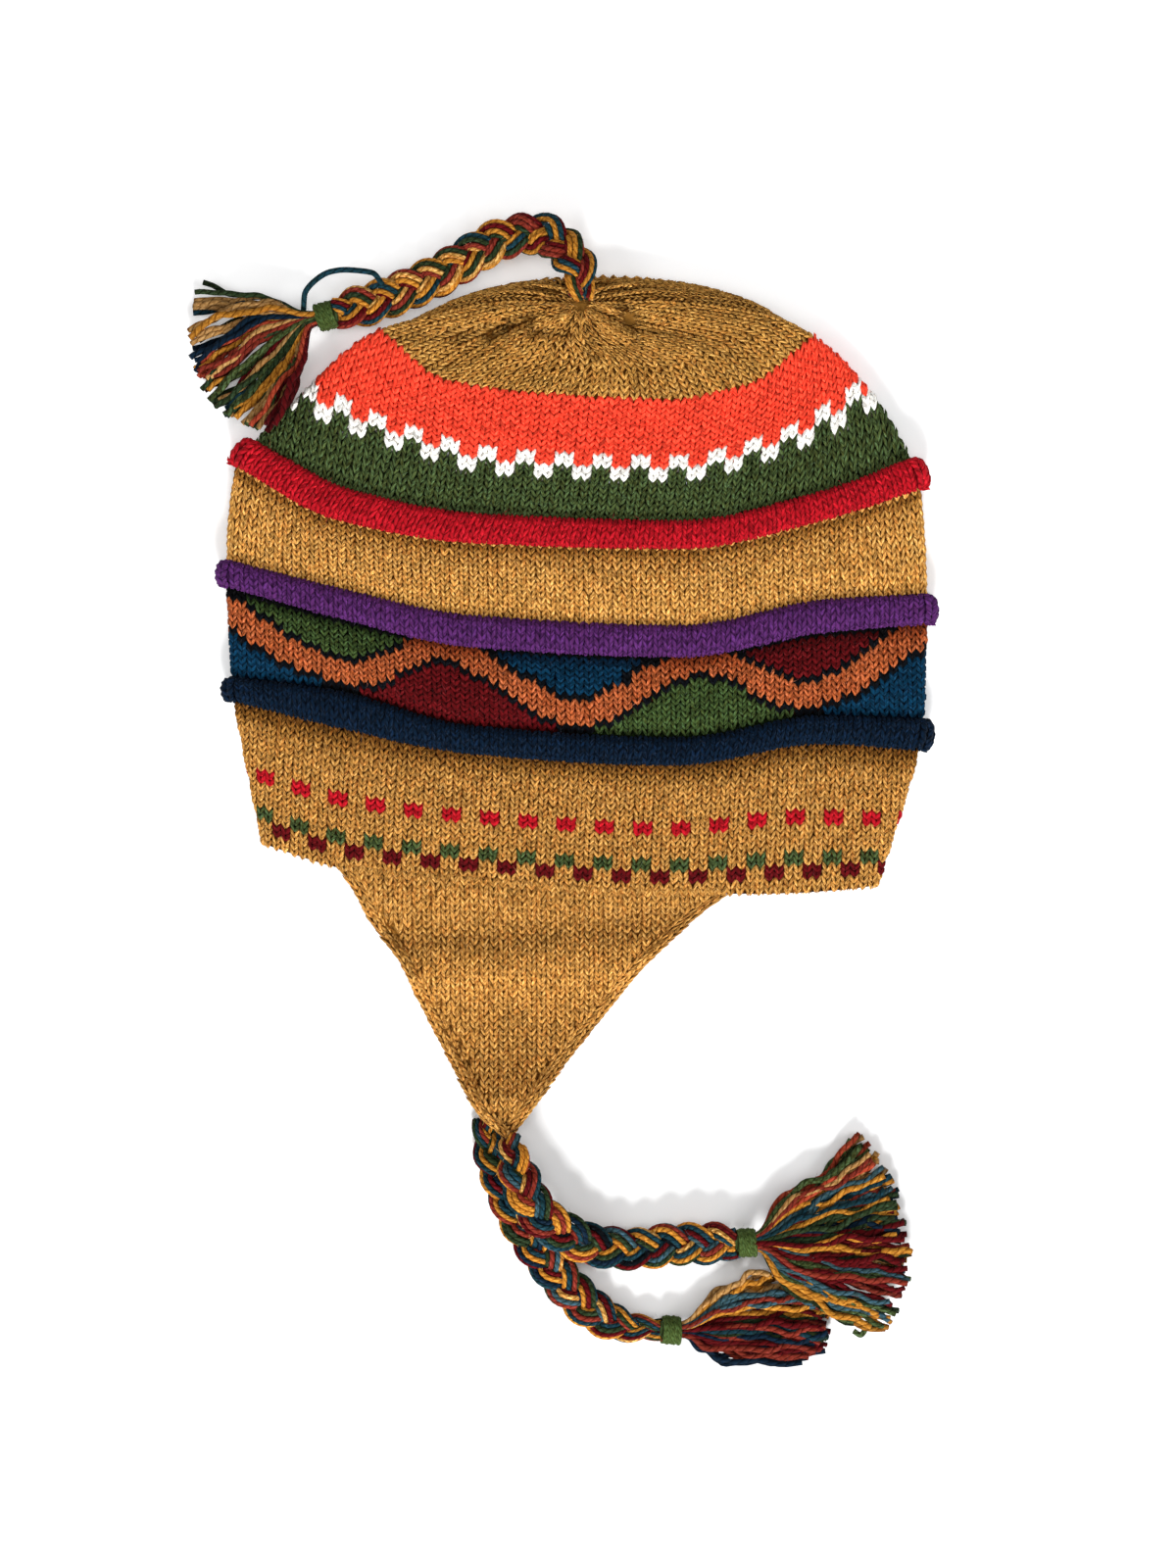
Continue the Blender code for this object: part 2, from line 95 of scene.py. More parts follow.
# One row for each fold or seam line of the body: row share, shares of HALF_WIDTH, shares of CROWN_HEIGHT at
# six places across the upper layer and at the middle of the lower one, then shares of BODY_HEIGHT
SECTION_COLUMNS = ("row", "left_x", "right_x", "left_y", "outer_left_y", "inner_left_y", "inner_right_y",
                   "outer_right_y", "right_y", "far_y", "top", "fold")
SECTIONS = np.array((
    (0.000, -0.902, 0.863, 0.079, 0.036, 0.017, -0.002, 0.002, 0.011, 0.011, 0.92, 0.00),
    (0.230, -0.980, 0.978, 0.310, 0.271, 0.229, 0.210, 0.242, 0.231, 0.233, 0.98, 0.00),
    (0.277, -0.989, 0.994, 0.354, 0.332, 0.274, 0.256, 0.291, 0.286, 0.280, 0.99, 0.00),
    (0.411, -1.000, 1.000, 0.495, 0.448, 0.400, 0.384, 0.422, 0.434, 0.415, 1.00, 0.00),
    (0.465, -1.000, 1.000, 0.544, 0.500, 0.453, 0.437, 0.478, 0.489, 0.470, 1.00, 0.00),
    (0.588, -0.975, 0.983, 0.690, 0.603, 0.566, 0.557, 0.600, 0.652, 0.589, 1.00, 0.00),
    (0.639, -0.913, 0.950, 0.734, 0.655, 0.616, 0.606, 0.649, 0.707, 0.644, 1.00, 0.00),
    (0.713, -0.807, 0.852, 0.797, 0.739, 0.687, 0.676, 0.723, 0.802, 0.723, 0.97, 0.00),
    (0.833, -0.580, 0.690, 0.908, 0.824, 0.802, 0.790, 0.815, 0.897, 0.889, 0.92, 0.00),
    (0.892, -0.415, 0.564, 0.937, 0.881, 0.854, 0.851, 0.886, 0.934, 1.000, 0.85, 0.42),
    (0.940, -0.192, 0.228, 0.959, 0.918, 0.899, 0.899, 0.918, 0.959, 0.987, 0.80, 0.70),
    (0.972, -0.066, 0.088, 0.957, 0.940, 0.929, 0.929, 0.940, 0.957, 0.975, 0.78, 0.74),
    (1.000, -0.018, 0.038, 0.956, 0.948, 0.941, 0.941, 0.948, 0.956, 0.964, 0.74, 0.74),
))
ACROSS = np.array((-1.0, -0.7, -0.3, 0.3, 0.7, 1.0))
UPPER_EDGE = slice(SECTION_COLUMNS.index("left_y"), SECTION_COLUMNS.index("right_y") + 1)
FLAT_ROWS_END = 0.833
RING_ROWS_START = 0.940
LIFT_STARTS = (0.08, 0.19)
LIFT_ENDS = (0.67, 0.80)

# Ear flap: share of FLAP_LENGTH down from the brim, and its two edges as shares of HALF_WIDTH
FLAP_EDGES = np.array((
    (0.000, -0.678, 0.432),
    (0.059, -0.642, 0.373),
    (0.173, -0.594, 0.284),
    (0.306, -0.513, 0.191),
    (0.498, -0.443, 0.085),
    (0.714, -0.362, -0.033),
    (0.914, -0.281, -0.136),
    (1.000, -0.219, -0.181),
))
FLAP_DESCENT_END = 0.55
FLAP_TIP_LIFT_PLACES = (0.70, 0.90)

# Routes of the three braids, from the hat to the tie, as in the CAD model
CROWN_ROUTE = (
    (0.0012, 0.1316, 0.0147), (0.0014, 0.1381, 0.016), (-0.0046, 0.1483, 0.0126), (-0.0125, 0.1534, 0.009),
    (-0.0227, 0.1521, 0.0068), (-0.0329, 0.1473, 0.0062), (-0.043, 0.141, 0.006),
    (-0.0532, 0.1362, 0.006), (-0.0624, 0.1325, 0.006), (-0.0703, 0.13, 0.006),
    (-0.0786, 0.1276, 0.0062),
)
NEAR_ROUTE = (
    (-0.022, -0.1401, 0.011), (-0.0215, -0.1436, 0.0134), (-0.02, -0.1473, 0.0156),
    (-0.0174, -0.1553, 0.0176), (-0.0116, -0.1645, 0.0168), (-0.0024, -0.1714, 0.0122),
    (0.0078, -0.1756, 0.0082), (0.0198, -0.1765, 0.0072), (0.03, -0.1749, 0.0078),
    (0.0402, -0.1746, 0.0087), (0.052, -0.1743, 0.009),
)
FAR_ROUTE = (
    (-0.03, -0.1346, 0.0036), (-0.0288, -0.1413, 0.0042), (-0.0258, -0.1492, 0.0055),
    (-0.0204, -0.1635, 0.006), (-0.0132, -0.1756, 0.006), (-0.0065, -0.1848, 0.006),
    (-0.0002, -0.1918, 0.006), (0.0068, -0.1978, 0.006), (0.016, -0.2019, 0.006),
    (0.0276, -0.2028, 0.006),
)


def section_columns(*names: str) -> list[int]:
    """Numbers of the named columns of SECTIONS."""
    return [SECTION_COLUMNS.index(name) for name in names]


def smoothstep(low: float, high: float, value: Array | float) -> Array:
    """Rise smoothly from 0 to 1 as a value goes from low to high."""
    share = np.clip((np.asarray(value, dtype=float) - low) / (high - low), 0.0, 1.0)
    return share * share * (3 - 2 * share)


def smooth_curve(places: Array, values: Array, at: Array, paired: bool = False) -> Array:
    """Read a smooth curve through values at their places, with no overshoot between them.

    Args:
        places: Rising places of the known values.
        values: One row of values for each place.
        at: Where to read the curve.
        paired: True when column n of the values belongs to reading n alone.

    Returns:
        One row of values for each reading, or one value for each where they are paired.
    """
    steps = np.diff(places)
    slopes = np.diff(values, axis=0) / steps[:, None]
    tangents = np.empty_like(values)
    tangents[0] = slopes[0]
    tangents[-1] = slopes[-1]
    before = slopes[:-1]
    after = slopes[1:]
    same_way = before * after > 0
    tangents[1:-1] = np.where(same_way, 2 * before * after / np.where(same_way, before + after, 1.0), 0.0)
    index = np.clip(np.searchsorted(places, at) - 1, 0, len(steps) - 1)
    step = steps[index]
    share = np.clip((at - places[index]) / step, 0.0, 1.0)
    pick = (index, np.arange(len(at))) if paired else index
    following = (index + 1, np.arange(len(at))) if paired else index + 1
    if not paired:
        share = share[:, None]
        step = step[:, None]
    square = share * share
    cube = square * share
    return ((2 * cube - 3 * square + 1) * values[pick] + (cube - 2 * square + share) * step * tangents[pick]
            + (3 * square - 2 * cube) * values[following] + (cube - square) * step * tangents[following])


def unit(vectors: Array) -> Array:
    """Scale vectors along the last axis to a length of one."""
    length = np.linalg.norm(vectors, axis=-1, keepdims=True)
    return vectors / np.maximum(length, 1e-12)


def distances(points: Array) -> Array:
    """Distance travelled along a line of points, at each of them."""
    return np.concatenate(([0.0], np.cumsum(np.linalg.norm(np.diff(points, axis=0), axis=1))))


def all_pairs(rows: Array, columns: Array) -> tuple[Array, Array]:
    """Every pair of a row and a column, row after row."""
    row, column = np.meshgrid(rows, columns, indexing="ij")
    return row.ravel(), column.ravel()


def linear(red: int, green: int, blue: int) -> Array:
    """Turn a screen colour of three numbers up to 255 into linear light."""
    share = np.array((red, green, blue)) / 255.0
    return np.where(share <= 0.04045, share / 12.92, ((share + 0.055) / 1.055) ** 2.4)


class Yarn(Enum):
    """The hat's dyed wools, and two copies of its gold darkened by painted shade: screen colour, and how
    heathered each is, from 0 to 1.
    """

    GOLD = ((198, 146, 72), 1.0)
    # A darker copy of the gold with painted shade, for the ear flaps and the lower band
    FLAP_GOLD = ((180, 130, 62), 1.0)
    # A darker copy of the gold with painted shade, for the gathered top, which tilts away from the light
    CROWN_GOLD = ((180, 132, 62), 1.0)
    COPPER = ((168, 88, 46), 0.95)
    CORAL = ((240, 74, 50), 0.16)
    WHITE = ((250, 247, 240), 0.05)
    GREEN = ((66, 80, 42), 1.0)
    LENS_GREEN = ((60, 78, 38), 0.9)
    RED = ((168, 18, 30), 0.2)
    PURPLE = ((80, 36, 92), 0.2)
    NAVY = ((6, 24, 42), 0.35)
    BLACK = ((6, 9, 14), 0.2)
    TEAL = ((4, 46, 70), 0.25)
    DARK_RED = ((88, 10, 14), 0.25)
    OCHRE = ((190, 126, 42), 0.5)
    RUST = ((176, 70, 44), 0.4)
    TAN = ((184, 138, 80), 0.5)
    BLUE = ((12, 32, 48), 0.3)
    GREY_TEAL = ((54, 82, 88), 0.5)
    DEEP_TEAL = ((22, 54, 62), 0.5)
    DEEP_GREEN = ((40, 54, 30), 0.7)
    BRICK = ((128, 46, 32), 0.5)
    TIE_GREEN = ((62, 78, 36), 0.45)

    @property
    def tone(self) -> Array:
        """Linear colour, with the heather share as a fourth value."""
        screen, heather = self.value
        return np.append(linear(*screen), heather)


TONES = np.array([yarn.tone for yarn in Yarn])
YARN_NUMBER = {yarn: number for number, yarn in enumerate(Yarn)}


def yarns_named(names: str) -> tuple[Yarn, ...]:
    """The yarns of a list of their names."""
    return tuple(Yarn[name] for name in names.split())


@dataclass
class MeshParts:
    """Vertices, faces, yarn coordinates and colours, gathered and joined into one mesh."""

    points: list[Array] = field(default_factory=list)
    corners: list[Array] = field(default_factory=list)
    sizes: list[Array] = field(default_factory=list)
    uvs: list[Array] = field(default_factory=list)
    tones: list[Array] = field(default_factory=list)
    count: int = 0

    def add(self, points: Array, tones: Array, faces: Sequence[Faces]) -> None:
        """Add one group of vertices with its faces.

        Args:
            points: The vertices, three values each.
            tones: Colour and heather share of each vertex.
            faces: Pairs of corner numbers, one row a face, and of the yarn coordinates of those corners.
        """
        self.points.append(points.reshape(-1, 3))
        self.tones.append(tones.reshape(-1, 4))
        for corners, uvs in faces:
            self.corners.append((corners + self.count).reshape(-1))
            self.sizes.append(np.full(len(corners), corners.shape[1]))
            self.uvs.append(uvs.reshape(-1, 2))
        self.count += len(self.points[-1])

    def build(self, name: str, material: Material, slot: str, *nodes: str) -> bpy.types.Object:
        """Join what was added into one piece that rides on the hat.

        Args:
            name: Name of the piece and its mesh.
            material: The finish of all of it.
            slot: The record's material slot; not used.
            nodes: The CAD nodes that it replaces.

        Returns:
            The piece, linked to the scene.
        """
        mesh = bpy.data.meshes.new(name)
        corners = np.concatenate(self.corners).astype(np.int32)
        sizes = np.concatenate(self.sizes)
        starts = np.concatenate(([0], np.cumsum(sizes)[:-1])).astype(np.int32)
        mesh.vertices.add(self.count)
        mesh.vertices.foreach_set("co", np.concatenate(self.points).astype(np.float32).ravel())
        mesh.loops.add(len(corners))
        mesh.loops.foreach_set("vertex_index", corners)
        mesh.polygons.add(len(sizes))
        mesh.polygons.foreach_set("loop_start", starts)
        mesh.update(calc_edges=True)
        layer = mesh.uv_layers.new(name=UV_NAME)
        layer.data.foreach_set("uv", np.concatenate(self.uvs).astype(np.float32).ravel())
        tone = mesh.color_attributes.new(name=TONE_NAME, type="FLOAT_COLOR", domain="POINT")
        tone.data.foreach_set("color", np.concatenate(self.tones).astype(np.float32).ravel())
        mesh.shade_smooth()
        mesh.materials.append(material)
        item = bpy.data.objects.new(name, mesh)
        bpy.context.scene.collection.objects.link(item)
        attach(item, BODY)
        if nodes:
            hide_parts(*nodes)
        LOG.info("%s: %d triangles", name, int(np.sum(sizes - 2)))
        return item


def grid_faces(rows: int, columns: int, closed_round: bool, closed_along: bool = False) -> Faces:
    """Quads of a grid of vertices, with plain yarn coordinates in vertex steps.

    Args:
        rows: Vertices along.
        columns: Vertices round, or across.
        closed_round: True where the last column joins the first.
        closed_along: True where the last row joins the first.

    Returns:
        Corner numbers and yarn coordinates of each face.
    """
    row, column = all_pairs(np.arange(rows if closed_along else rows - 1),
                            np.arange(columns if closed_round else columns - 1))
    above = (row + 1) % rows
    beside = (column + 1) % columns
    corners = np.stack((row * columns + column, row * columns + beside,
                        above * columns + beside, above * columns + column), axis=1)
    across = np.stack((column, column + 1, column + 1, column), axis=1)
    along = np.stack((row, row, row + 1, row + 1), axis=1)
    return corners, np.stack((across, along), axis=-1).astype(float)


class HatSurface:
    """The outer surface of the folded hat, as the CAD model has it, with its soft dents."""

    TABLE_ROWS = 121
    TABLE_SHARES = 593
    SAMPLES = 1601
    # Folds of the gathered top, seen from above: two ends (x, y, x, y), reach, height
    FOLDS = np.array((
        (-0.0592, 0.1190, -0.0397, 0.1200, 0.0024, -0.0010),
        (-0.0397, 0.1200, -0.0284, 0.1209, 0.0022, -0.0018),
        (-0.0284, 0.1209, -0.0221, 0.1231, 0.0020, -0.0022),
        (-0.0221, 0.1231, -0.0152, 0.1256, 0.0018, -0.0024),
        (-0.0152, 0.1256, -0.0103, 0.1281, 0.0017, -0.0018),
        (-0.0450, 0.1245, -0.0230, 0.1278, 0.0034, 0.0016),
        (-0.0120, 0.1254, -0.0045, 0.1264, 0.0030, 0.0022),
        (-0.0140, 0.1213, -0.0035, 0.1208, 0.0021, -0.0015),
        (0.0147, 0.1313, 0.0172, 0.1255, 0.0022, -0.0022),
        (0.0172, 0.1255, 0.0196, 0.1190, 0.0024, -0.0016),
        (0.0060, 0.1285, 0.0105, 0.1190, 0.0030, 0.0014),
        (0.0215, 0.1335, 0.0340, 0.1262, 0.0036, 0.0014),
        (0.0030, 0.1225, 0.0055, 0.1130, 0.0015, -0.0010),
        (-0.0090, 0.1365, -0.0217, 0.1340, 0.0020, -0.0010),
        (0.0195, 0.1381, 0.0418, 0.1345, 0.0022, -0.0010),
    ))
    # Cloth between the welts, which swells over each and dips just under the next: row share, height
    SWELLS = np.array((
        (0.000, -0.0004), (0.050, 0.0005), (0.120, 0.0008), (0.180, 0.0003), (0.222, -0.0010),
        (0.262, -0.0006), (0.284, 0.0002), (0.305, 0.0009), (0.350, 0.0005), (0.385, -0.0008),
        (0.408, -0.0012), (0.448, -0.0005), (0.472, 0.0005), (0.495, 0.0011), (0.540, 0.0005),
        (0.570, -0.0008), (0.590, -0.0010), (0.625, -0.0004), (0.650, 0.0004), (0.680, 0.0008),
        (0.760, 0.0004), (0.840, 0.0000), (1.000, 0.0000),
    ))
    # Gentle waves of the soft cloth: waves up the hat, waves round it, phase, height
    WAVES = (
        (2.6, 2.0, 0.4, 0.00030),
        (4.3, 3.0, 2.1, 0.00022),
        (1.2, 5.0, 4.0, 0.00020),
        (6.1, 7.0, 1.0, 0.00010),
    )

    def __init__(self) -> None:
        """Work out where evenly spaced columns of stitches lie on each layer."""
        self.rows = np.linspace(0.0, 1.0, self.TABLE_ROWS)
        quarters = np.linspace(0.0, 4.0, self.SAMPLES)
        half = self.SAMPLES // 2
        shares = np.linspace(0.0, 1.0, self.TABLE_SHARES)
        self.quarters = np.empty((self.TABLE_ROWS, self.TABLE_SHARES))
        self.near_lengths = np.empty(self.TABLE_ROWS)
        for number, row in enumerate(self.rows):
            line = self.points(np.full(self.SAMPLES, row), quarters, dents=False)
            near = distances(line[:half + 1])
            far = distances(line[half:])
            travelled = np.concatenate((near / near[-1] / 2, 0.5 + far[1:] / far[-1] / 2))
            self.near_lengths[number] = near[-1]
            self.quarters[number] = np.interp(shares, travelled, quarters)

    def quarter_of(self, row: Array, share: Array) -> Array:
        """The quarter number, with its fraction, of an evenly spaced place round the hat.

        Args:
            row: Row shares.
            share: Round shares.

        Returns:
            Quarters, from 0 to 4.
        """
        whole = np.floor(share)
        column = (share - whole) * (self.TABLE_SHARES - 1)
        line = np.clip(row, 0.0, 1.0) * (self.TABLE_ROWS - 1)
        low_line = np.minimum(line.astype(int), self.TABLE_ROWS - 2)
        low_column = np.minimum(column.astype(int), self.TABLE_SHARES - 2)
        up = line - low_line
        on = column - low_column

        def on_line(number: Array) -> Array:
            """The quarter between two columns of one line of the table."""
            return self.quarters[number, low_column] * (1 - on) + self.quarters[number, low_column + 1] * on

        return on_line(low_line) * (1 - up) + on_line(low_line + 1) * up

    def upper_edge_y(self, lines: Array, across: Array) -> Array:
        """Y of the upper layer on each section's line, at places across from -1 to 1."""
        return BRIM_Y + CROWN_HEIGHT * smooth_curve(ACROSS, lines[:, UPPER_EDGE].T, across, paired=True)

    def points(self, row: Array, quarter: Array, dents: bool = True) -> Array:
        """Points of the outer surface.

        Args:
            row: Row shares.
            quarter: Quarters of the way round, from 0 to 4, spread so that the points come evenly.
            dents: Whether the creases and soft waves are added.

        Returns:
            One point for each pair.
        """
        row = np.asarray(row, dtype=float)
        lines = smooth_curve(SECTIONS[:, 0], SECTIONS, row)
        left_x, right_x, left_y, right_y, far_y, top_share, fold = lines[:, section_columns(
            "left_x", "right_x", "left_y", "right_y", "far_y", "top", "fold")].T
        body = 1 - smoothstep(FLAT_ROWS_END, RING_ROWS_START, row)
        power = 1 - body / 3
        whole = np.floor(quarter)
        part = (quarter - whole) ** (1 / power)
        rest = (1 - quarter + whole) ** (1 / power)
        turn = (whole + part / (part + rest)) / 4
        angle = tau * turn
        across = -np.copysign(np.abs(np.cos(angle)) ** power, np.cos(angle))
        rise = np.abs(np.sin(angle))
        x = HALF_WIDTH * ((right_x + left_x) / 2 + (right_x - left_x) / 2 * across)
        top = BODY_HEIGHT * top_share
        lift = UNDER_LIFT * smoothstep(*LIFT_STARTS, row) * (1 - smoothstep(*LIFT_ENDS, row))
        bottom = BODY_HEIGHT * fold + lift
        side = (top + bottom) / 2
        pleat = PLEAT_HEIGHT * np.cos(tau * PLEATS * turn) * smoothstep(*PLEAT_STARTS, row)
        pleat *= 1 - smoothstep(*PLEAT_ENDS, row)
        near_y = self.upper_edge_y(lines, across)
        near_z = side + (top - side) * rise ** power + pleat * rise
        ends = left_y + (right_y - left_y) * (across + 1) / 2
        far_reach = (far_y - (left_y + right_y) / 2) * rise ** (1 + body)
        far_line = BRIM_Y + CROWN_HEIGHT * (ends + far_reach)
        far_z = side + (bottom - side) * np.minimum(1.0, UNDER_FULLNESS * rise ** (UNDER_POWER * power))
        far_z += pleat * rise * smoothstep(*FAR_PLEAT_STARTS, row)
        near = np.sin(angle) >= 0
        y = np.where(near, near_y, far_line)
        z = np.where(near, near_z, far_z)
        if dents:
            z = z + (self.dents(row, turn) + self.folds(x, y)) * np.where(near, rise ** 0.5, 0.0)
        return np.stack((x, y, z), axis=1)

    def folds(self, x: Array, y: Array) -> Array:
        """Height of the folds of the gathered top at places seen from above."""
        height = np.zeros_like(x)
        for start_x, start_y, end_x, end_y, reach, size in self.FOLDS:
            along_x = end_x - start_x
            along_y = end_y - start_y
            share = ((x - start_x) * along_x + (y - start_y) * along_y) / (along_x ** 2 + along_y ** 2)
            inside = np.clip(share, 0.0, 1.0)
            away = np.hypot(x - start_x - along_x * inside, y - start_y - along_y * inside)
            height += size * np.exp(-(away / reach) ** 2)
        return height

    def dents(self, row: Array, turn: Array) -> Array:
        """Height of the swells between the welts and of the soft waves."""
        height = smooth_curve(self.SWELLS[:, 0], self.SWELLS[:, 1:], row)[:, 0]
        for up, round_hat, phase, size in self.WAVES:
            height += size * np.sin(tau * (up * row + round_hat * turn) + phase)
        return height

    def at(self, row: Array, share: Array) -> Array:
        """Points of the outer surface at evenly spaced places round it."""
        return self.points(row, self.quarter_of(row, share))

    def normals(self, row: Array, share: Array, step: float) -> Array:
        """Ways out of the surface, from the points a step away on each side."""
        across = self.at(row, share + step) - self.at(row, share - step)
        up = self.at(row + step, share) - self.at(row - step, share)
        return unit(np.cross(across, up))

    def share_of(self, row: Array, column: Array, columns: int, pitch: float) -> Array:
        """Round shares of columns that keep their width on the upper layer and run over its folds.

        Args:
            row: Row shares.
            column: Column numbers.
            columns: Columns round the hat.
            pitch: Width of a column on the upper layer.

        Returns:
            Round shares.
        """
        stretch = np.maximum(columns / 2 * pitch / np.interp(row, self.rows, self.near_lengths), 0.7)
        place = column / columns
        whole = np.floor(place)
        place = place - whole
        near_half = 0.25 / stretch
        near = 0.25 + (place - 0.25) * stretch
        from_far = place - 0.75 + (place < 0.25)
        far = 0.75 + from_far * 0.25 / (0.5 - near_half) - (place < 0.25)
        return whole + np.where(np.abs(place - 0.25) <= near_half, near, far)


@dataclass(frozen=True)
class Frames:
    """Where stitches sit: their middles, one column across, one row up, and the way out."""

    middle: Array
    across: Array
    up: Array
    out: Array

    @classmethod
    def on(cls, place: Callable[[Array, Array], Array], column: Array, row: Array) -> "Frames":
        """Frames of stitches on a cloth.

        Args:
            place: Gives points from column and row numbers.
            column: Column number of each stitch's middle.
            row: Row number of each stitch's middle.

        Returns:
            Their frames.
        """
        across = place(column + 0.5, row) - place(column - 0.5, row)
        up = place(column, row + 0.5) - place(column, row - 0.5)
        return cls(place(column, row), across, up, unit(np.cross(across, up)))

    def turned(self, keep: Array) -> "Frames":
        """Only the frames that a mask keeps."""
        return Frames(self.middle[keep], self.across[keep], self.up[keep], self.out[keep])


@dataclass(frozen=True)
class StitchShape:
    """The leg of a knitted V: stations along it, from the point of the V to its top."""

    sides: int
    # Share of a column from the middle, share of a row from the middle, height over the cloth, radius
    stations: tuple[tuple[float, float, float, float], ...]
    column_width: float = 0.00315
    row_height: float = 0.00203
    # Thickness of plain and of heathered yarn, as shares of the radii above: plain ones are felted closer
    plain_plump: float = 1.12
    heathered_plump: float = 0.86
    # Small differences between legs: of place, in columns, rows and metres, of size and thickness, of shade
    shift: Point = (0.028, 0.05, 0.00008)
    size_spread: float = 0.06
    shade_spread: float = 0.11
    shade_limits: tuple[float, float] = (0.70, 1.35)
    # Longest piece of yarn that the coordinates of a leg start in, in millimetres
    yarn_piece: float = 40.0

    def template(self) -> tuple[Array, Array, Array]:
        """Vertices of one leg: shares of a column, shares of a row and metres of height.

        Returns:
            The yarn's middle at each vertex, the way from it to the vertex, and the length at each station.
        """
        across, up, height, radius = np.array(self.stations).T
        metric = np.stack((across * self.column_width, up * self.row_height), axis=1)
        along = distances(metric)
        way = unit(np.gradient(metric, axis=0))
        angles = tau * np.arange(self.sides) / self.sides + pi / 2
        middles = []
        reaches = []
        for number, yarn_radius in enumerate(radius):
            ring = angles if yarn_radius > 0 else angles[:1]
            flat = yarn_radius * np.cos(ring)
            middles.append(np.tile((across[number], up[number], height[number]), (len(ring), 1)))
            reaches.append(np.stack((way[number, 1] * flat / self.column_width,
                                     -way[number, 0] * flat / self.row_height,
                                     yarn_radius * np.sin(ring)), axis=1))
        return np.concatenate(middles), np.concatenate(reaches), along

    def faces(self, along: Array) -> tuple[Faces, Faces]:
        """Triangles at the two points and quads between the rings of one leg.

        Args:
            along: Length of the leg at each station.

        Returns:
            Corner numbers and yarn coordinates of the triangles, then of the quads.
        """
        sides = self.sides
        rings = len(self.stations) - 2
        step = np.arange(sides)
        beside = (step + 1) % sides
        here = step / sides
        there = (step + 1) / sides
        middle = (step + 0.5) / sides
        end_ring = 1 + (rings - 1) * sides
        start = np.stack((np.zeros(sides, int), 1 + beside, 1 + step), axis=1)
        end = np.stack((np.full(sides, 1 + rings * sides), end_ring + step, end_ring + beside), axis=1)
        corners, places = grid_faces(rings, sides, True)
        uvs = np.stack((places[..., 0] / sides, along[places[..., 1].astype(int) + 1]), axis=-1)
        tips = []
        for order, point, ring_place in (((middle, there, here), along[0], along[1]),
                                         ((middle, here, there), along[-1], along[-2])):
            places = (point, ring_place, ring_place)
            tips.append(np.stack([np.stack((across, np.full(sides, place)), 1)
                                  for across, place in zip(order, places)], axis=1))
        triangles = (np.concatenate((start, end)), np.concatenate(tips))
        return triangles, (corners + 1, uvs)

    def knit(self, parts: MeshParts, frames: Frames, tones: Array, random: Random) -> None:
        """Add two legs for each stitch.

        Args:
            parts: What they are added to.
            frames: Where the stitches are.
            tones: Colour and heather share of each stitch.
            random: Source of the small differences between stitches.
        """
        middles, reaches, along = self.template()
        triangles, quads = self.faces(along)
        stitches = len(frames.middle)
        vertices = len(middles)
        plump = (self.plain_plump + (self.heathered_plump - self.plain_plump) * tones[:, 3:])[:, :, None]
        for side in (1.0, -1.0):
            shift = random.normal(0.0, 1.0, (stitches, 1, 3)) * self.shift
            stretch = random.normal(1.0, self.size_spread, (stitches, 1, 3))
            thick = plump * random.normal(1.0, self.size_spread, (stitches, 1, 1))
            local = middles[None] * stretch + shift + reaches[None] * thick
            points = (frames.middle[:, None] + frames.across[:, None] * side * local[:, :, :1]
                      + frames.up[:, None] * local[:, :, 1:2] + frames.out[:, None] * local[:, :, 2:])
            shade = np.clip(random.normal(1.0, self.shade_spread, (stitches, 1)), *self.shade_limits)
            leg_tones = np.concatenate((tones[:, :3] * shade, tones[:, 3:]), axis=1)
            leg_tones = np.repeat(leg_tones[:, None], vertices, axis=1)
            offsets = random.uniform(0.0, self.yarn_piece, stitches)
            faces = []
            for corners, uvs in (triangles, quads):
                if side < 0:
                    corners = corners[:, ::-1]
                    uvs = uvs[:, ::-1]
                numbers = corners[None] + (np.arange(stitches) * vertices)[:, None, None]
                placed = np.repeat(uvs[None], stitches, axis=0).copy()
                placed[..., 1] = placed[..., 1] * MILLIMETRES + offsets[:, None, None]
                faces.append((numbers.reshape(-1, corners.shape[1]), placed.reshape(-1, corners.shape[1], 2)))
            parts.add(points, leg_tones, faces)


# Legs seen from above: finely rounded. Their tops pass behind the points of the row above
NEAR_STITCH = StitchShape(5, (
    (0.030, -0.88, -0.00110, 0.0),
    (0.095, -0.52, -0.00060, 0.00050),
    (0.245, 0.04, -0.00040, 0.00068),
    (0.395, 0.58, -0.00064, 0.00056),
    (0.470, 0.98, -0.00120, 0.0),
))
# Legs of the tightly rolled welts: upright, close and low
WELT_STITCH = StitchShape(5, (
    (0.090, -0.85, -0.00090, 0.0),
    (0.160, -0.50, -0.00064, 0.00054),
    (0.255, 0.00, -0.00052, 0.00064),
    (0.345, 0.50, -0.00064, 0.00056),
    (0.400, 0.95, -0.00095, 0.0),
))
# Legs on the side that the hat lies on: plainer
FAR_STITCH = StitchShape(3, (
    (0.030, -0.70, -0.00105, 0.0),
    (0.140, -0.20, -0.00060, 0.00064),
    (0.380, 0.42, -0.00070, 0.00064),
    (0.480, 0.84, -0.00110, 0.0),
))


